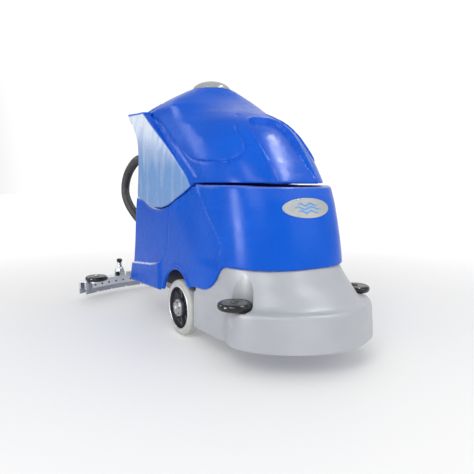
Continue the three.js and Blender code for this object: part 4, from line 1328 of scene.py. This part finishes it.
# ---- CAD nodes that stay: edges, shading and materials ----
KEPT = {
    STEEL: ["axle", "handle_bar", "tank_hinge_lower", "tank_hinge_upper", "key_switch", "castor_fork",
            "squeegee_lever", "brush_lever"],
    BLACK: ["hose_cuff", "control_panel", "brush_switch", "vacuum_switch", "water_lever", "trigger_bar",
            "brush_driver", "suction_elbow", "squeegee_lever_grip", "hose_clip"],
    RUBBER: ["grip_right", "grip_left", "castor_wheel"],
    PAINT: ["chassis_plate", "squeegee_bracket", "head_arm", "squeegee_arm", "lever_bracket"],
    MOTOR: ["vacuum_motor", "brush_motor", "bumper_bolt_right", "bumper_bolt_left"],
    ALLOY: ["gearbox", "casting_right", "casting_left"],
    STRIP: ["squeegee_frame"],
    DOME: ["float_cage"],
    BLUE: ["rear_cover"],
    BATTERY: ["battery_pack"],
    BRISTLE: ["brush_bristles"],
    LEVER_BLUE: ["brush_lever_grip"],
}
WELD_GAP = 1e-5
EDGE_BEVEL = 0.0007
for material, nodes in KEPT.items():
    for node in nodes:
        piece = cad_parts[node]
        if piece.data.attributes.get("custom_normal"):
            piece.data.attributes.remove(piece.data.attributes["custom_normal"])
        piece.data.shade_smooth()
        piece.data.materials.clear()
        piece.data.materials.append(material)
        weld = piece.modifiers.new("weld", "WELD")
        weld.merge_threshold = WELD_GAP
        bevel(piece, EDGE_BEVEL)


# ---- floor and light ----
FLOOR_REACH = 30
# The way the camera looks, where the backdrop glows brightest.
BACKDROP = (0.52, 0.85, 0.0)
# A dark card stands off behind the machine's right side, so the long flank stays deep blue.
CARD = (-0.46, 0.888, 0.0)
# Across the floor, the way from that card's side towards the lit side.
FLANK = (1.0, -0.11, 0.0)
# [name, place, aimed at, width, height, watts, whether it lights matt surfaces too]
LAMPS = [
    ("corner_strip", (-3.2, -0.25, 1.0), (-0.2, -0.5, 0.5), 0.4, 1.5, 70, False),
    ("overhead_strip", (1.37, -1.0, 3.24), (0, -0.5, 0.8), 2.0, 0.22, 60, False),
    ("high_box", (-2.3, -1.3, 2.9), (-0.1, -0.4, 0.7), 0.7, 1.0, 14, False),
    ("wing_box", (-2.1, 2.3, 1.8), (-0.25, 0.1, 0.75), 1.0, 1.0, 16, False),
    ("key", (-2.4, -2.2, 2.6), (0, -0.2, 0.5), 1.8, 1.8, 46, True),
    ("fill", (1.6, -3.2, 1.8), (0, -0.4, 0.4), 1.8, 1.8, 16, True),
]


def studio():
    r = FLOOR_REACH
    floor = new_mesh("floor", [(-r, -r, 0), (r, -r, 0), (r, r, 0), (-r, r, 0)], [(0, 1, 2, 3)])
    n = Nodes("floor")
    colour = n.ramp(n.noise(0.4), [(0.3, (0.88, 0.88, 0.88)), (0.7, (0.92, 0.92, 0.92))])
    far = n.add("ShaderNodeVectorMath", operation="LENGTH")
    n.link(n.geometry("Position"), far.inputs[0])
    by_distance = n.spread(far.outputs["Value"], 0.25, 1, 0.8, 3.4)
    by_side = n.spread(n.along(n.geometry("Position"), FLANK), 0.1, 1, -2.0, -1.0)
    glow = n.maths("MULTIPLY", by_distance, by_side)
    n.link(glow, n.shader.inputs["Emission Strength"])
    colour = n.mix(glow, colour, (0, 0, 0))
    rough = n.spread(n.noise(2), 0.6, 0.7)
    floor.data.materials.append(n.finish(colour, rough, emission_color=(1, 1, 1, 1)))
    world = bpy.data.worlds.new("world")
    world.use_nodes = True
    sky = Tree(world.node_tree)
    background = sky.tree.nodes["Background"]
    background.inputs["Color"].default_value = (1.0, 1.0, 1.0, 1)
    toward = sky.add("ShaderNodeTexCoord").outputs["Generated"]
    glow = sky.spread(sky.along(toward, BACKDROP), 0.62, 1.05, 0.5, 0.9, "SMOOTHSTEP")
    shade = sky.spread(sky.along(toward, CARD), 1.0, 0.3, 0.78, 0.97, "SMOOTHSTEP")
    sky.link(sky.maths("MULTIPLY", glow, shade), background.inputs["Strength"])
    scene.world = world
    for name, place, target, wide, tall, power, matt in LAMPS:
        data = bpy.data.lights.new(name, "AREA")
        data.shape = "RECTANGLE"
        data.size, data.size_y = wide, tall
        data.energy = power
        lamp = bpy.data.objects.new(name, data)
        lamp.location = place
        lamp.visible_diffuse = matt
        lamp.rotation_euler = (Vector(target) - Vector(place)).to_track_quat("-Z", "Y").to_euler()
        scene.collection.objects.link(lamp)


studio()
scene.view_settings.view_transform = "Standard"
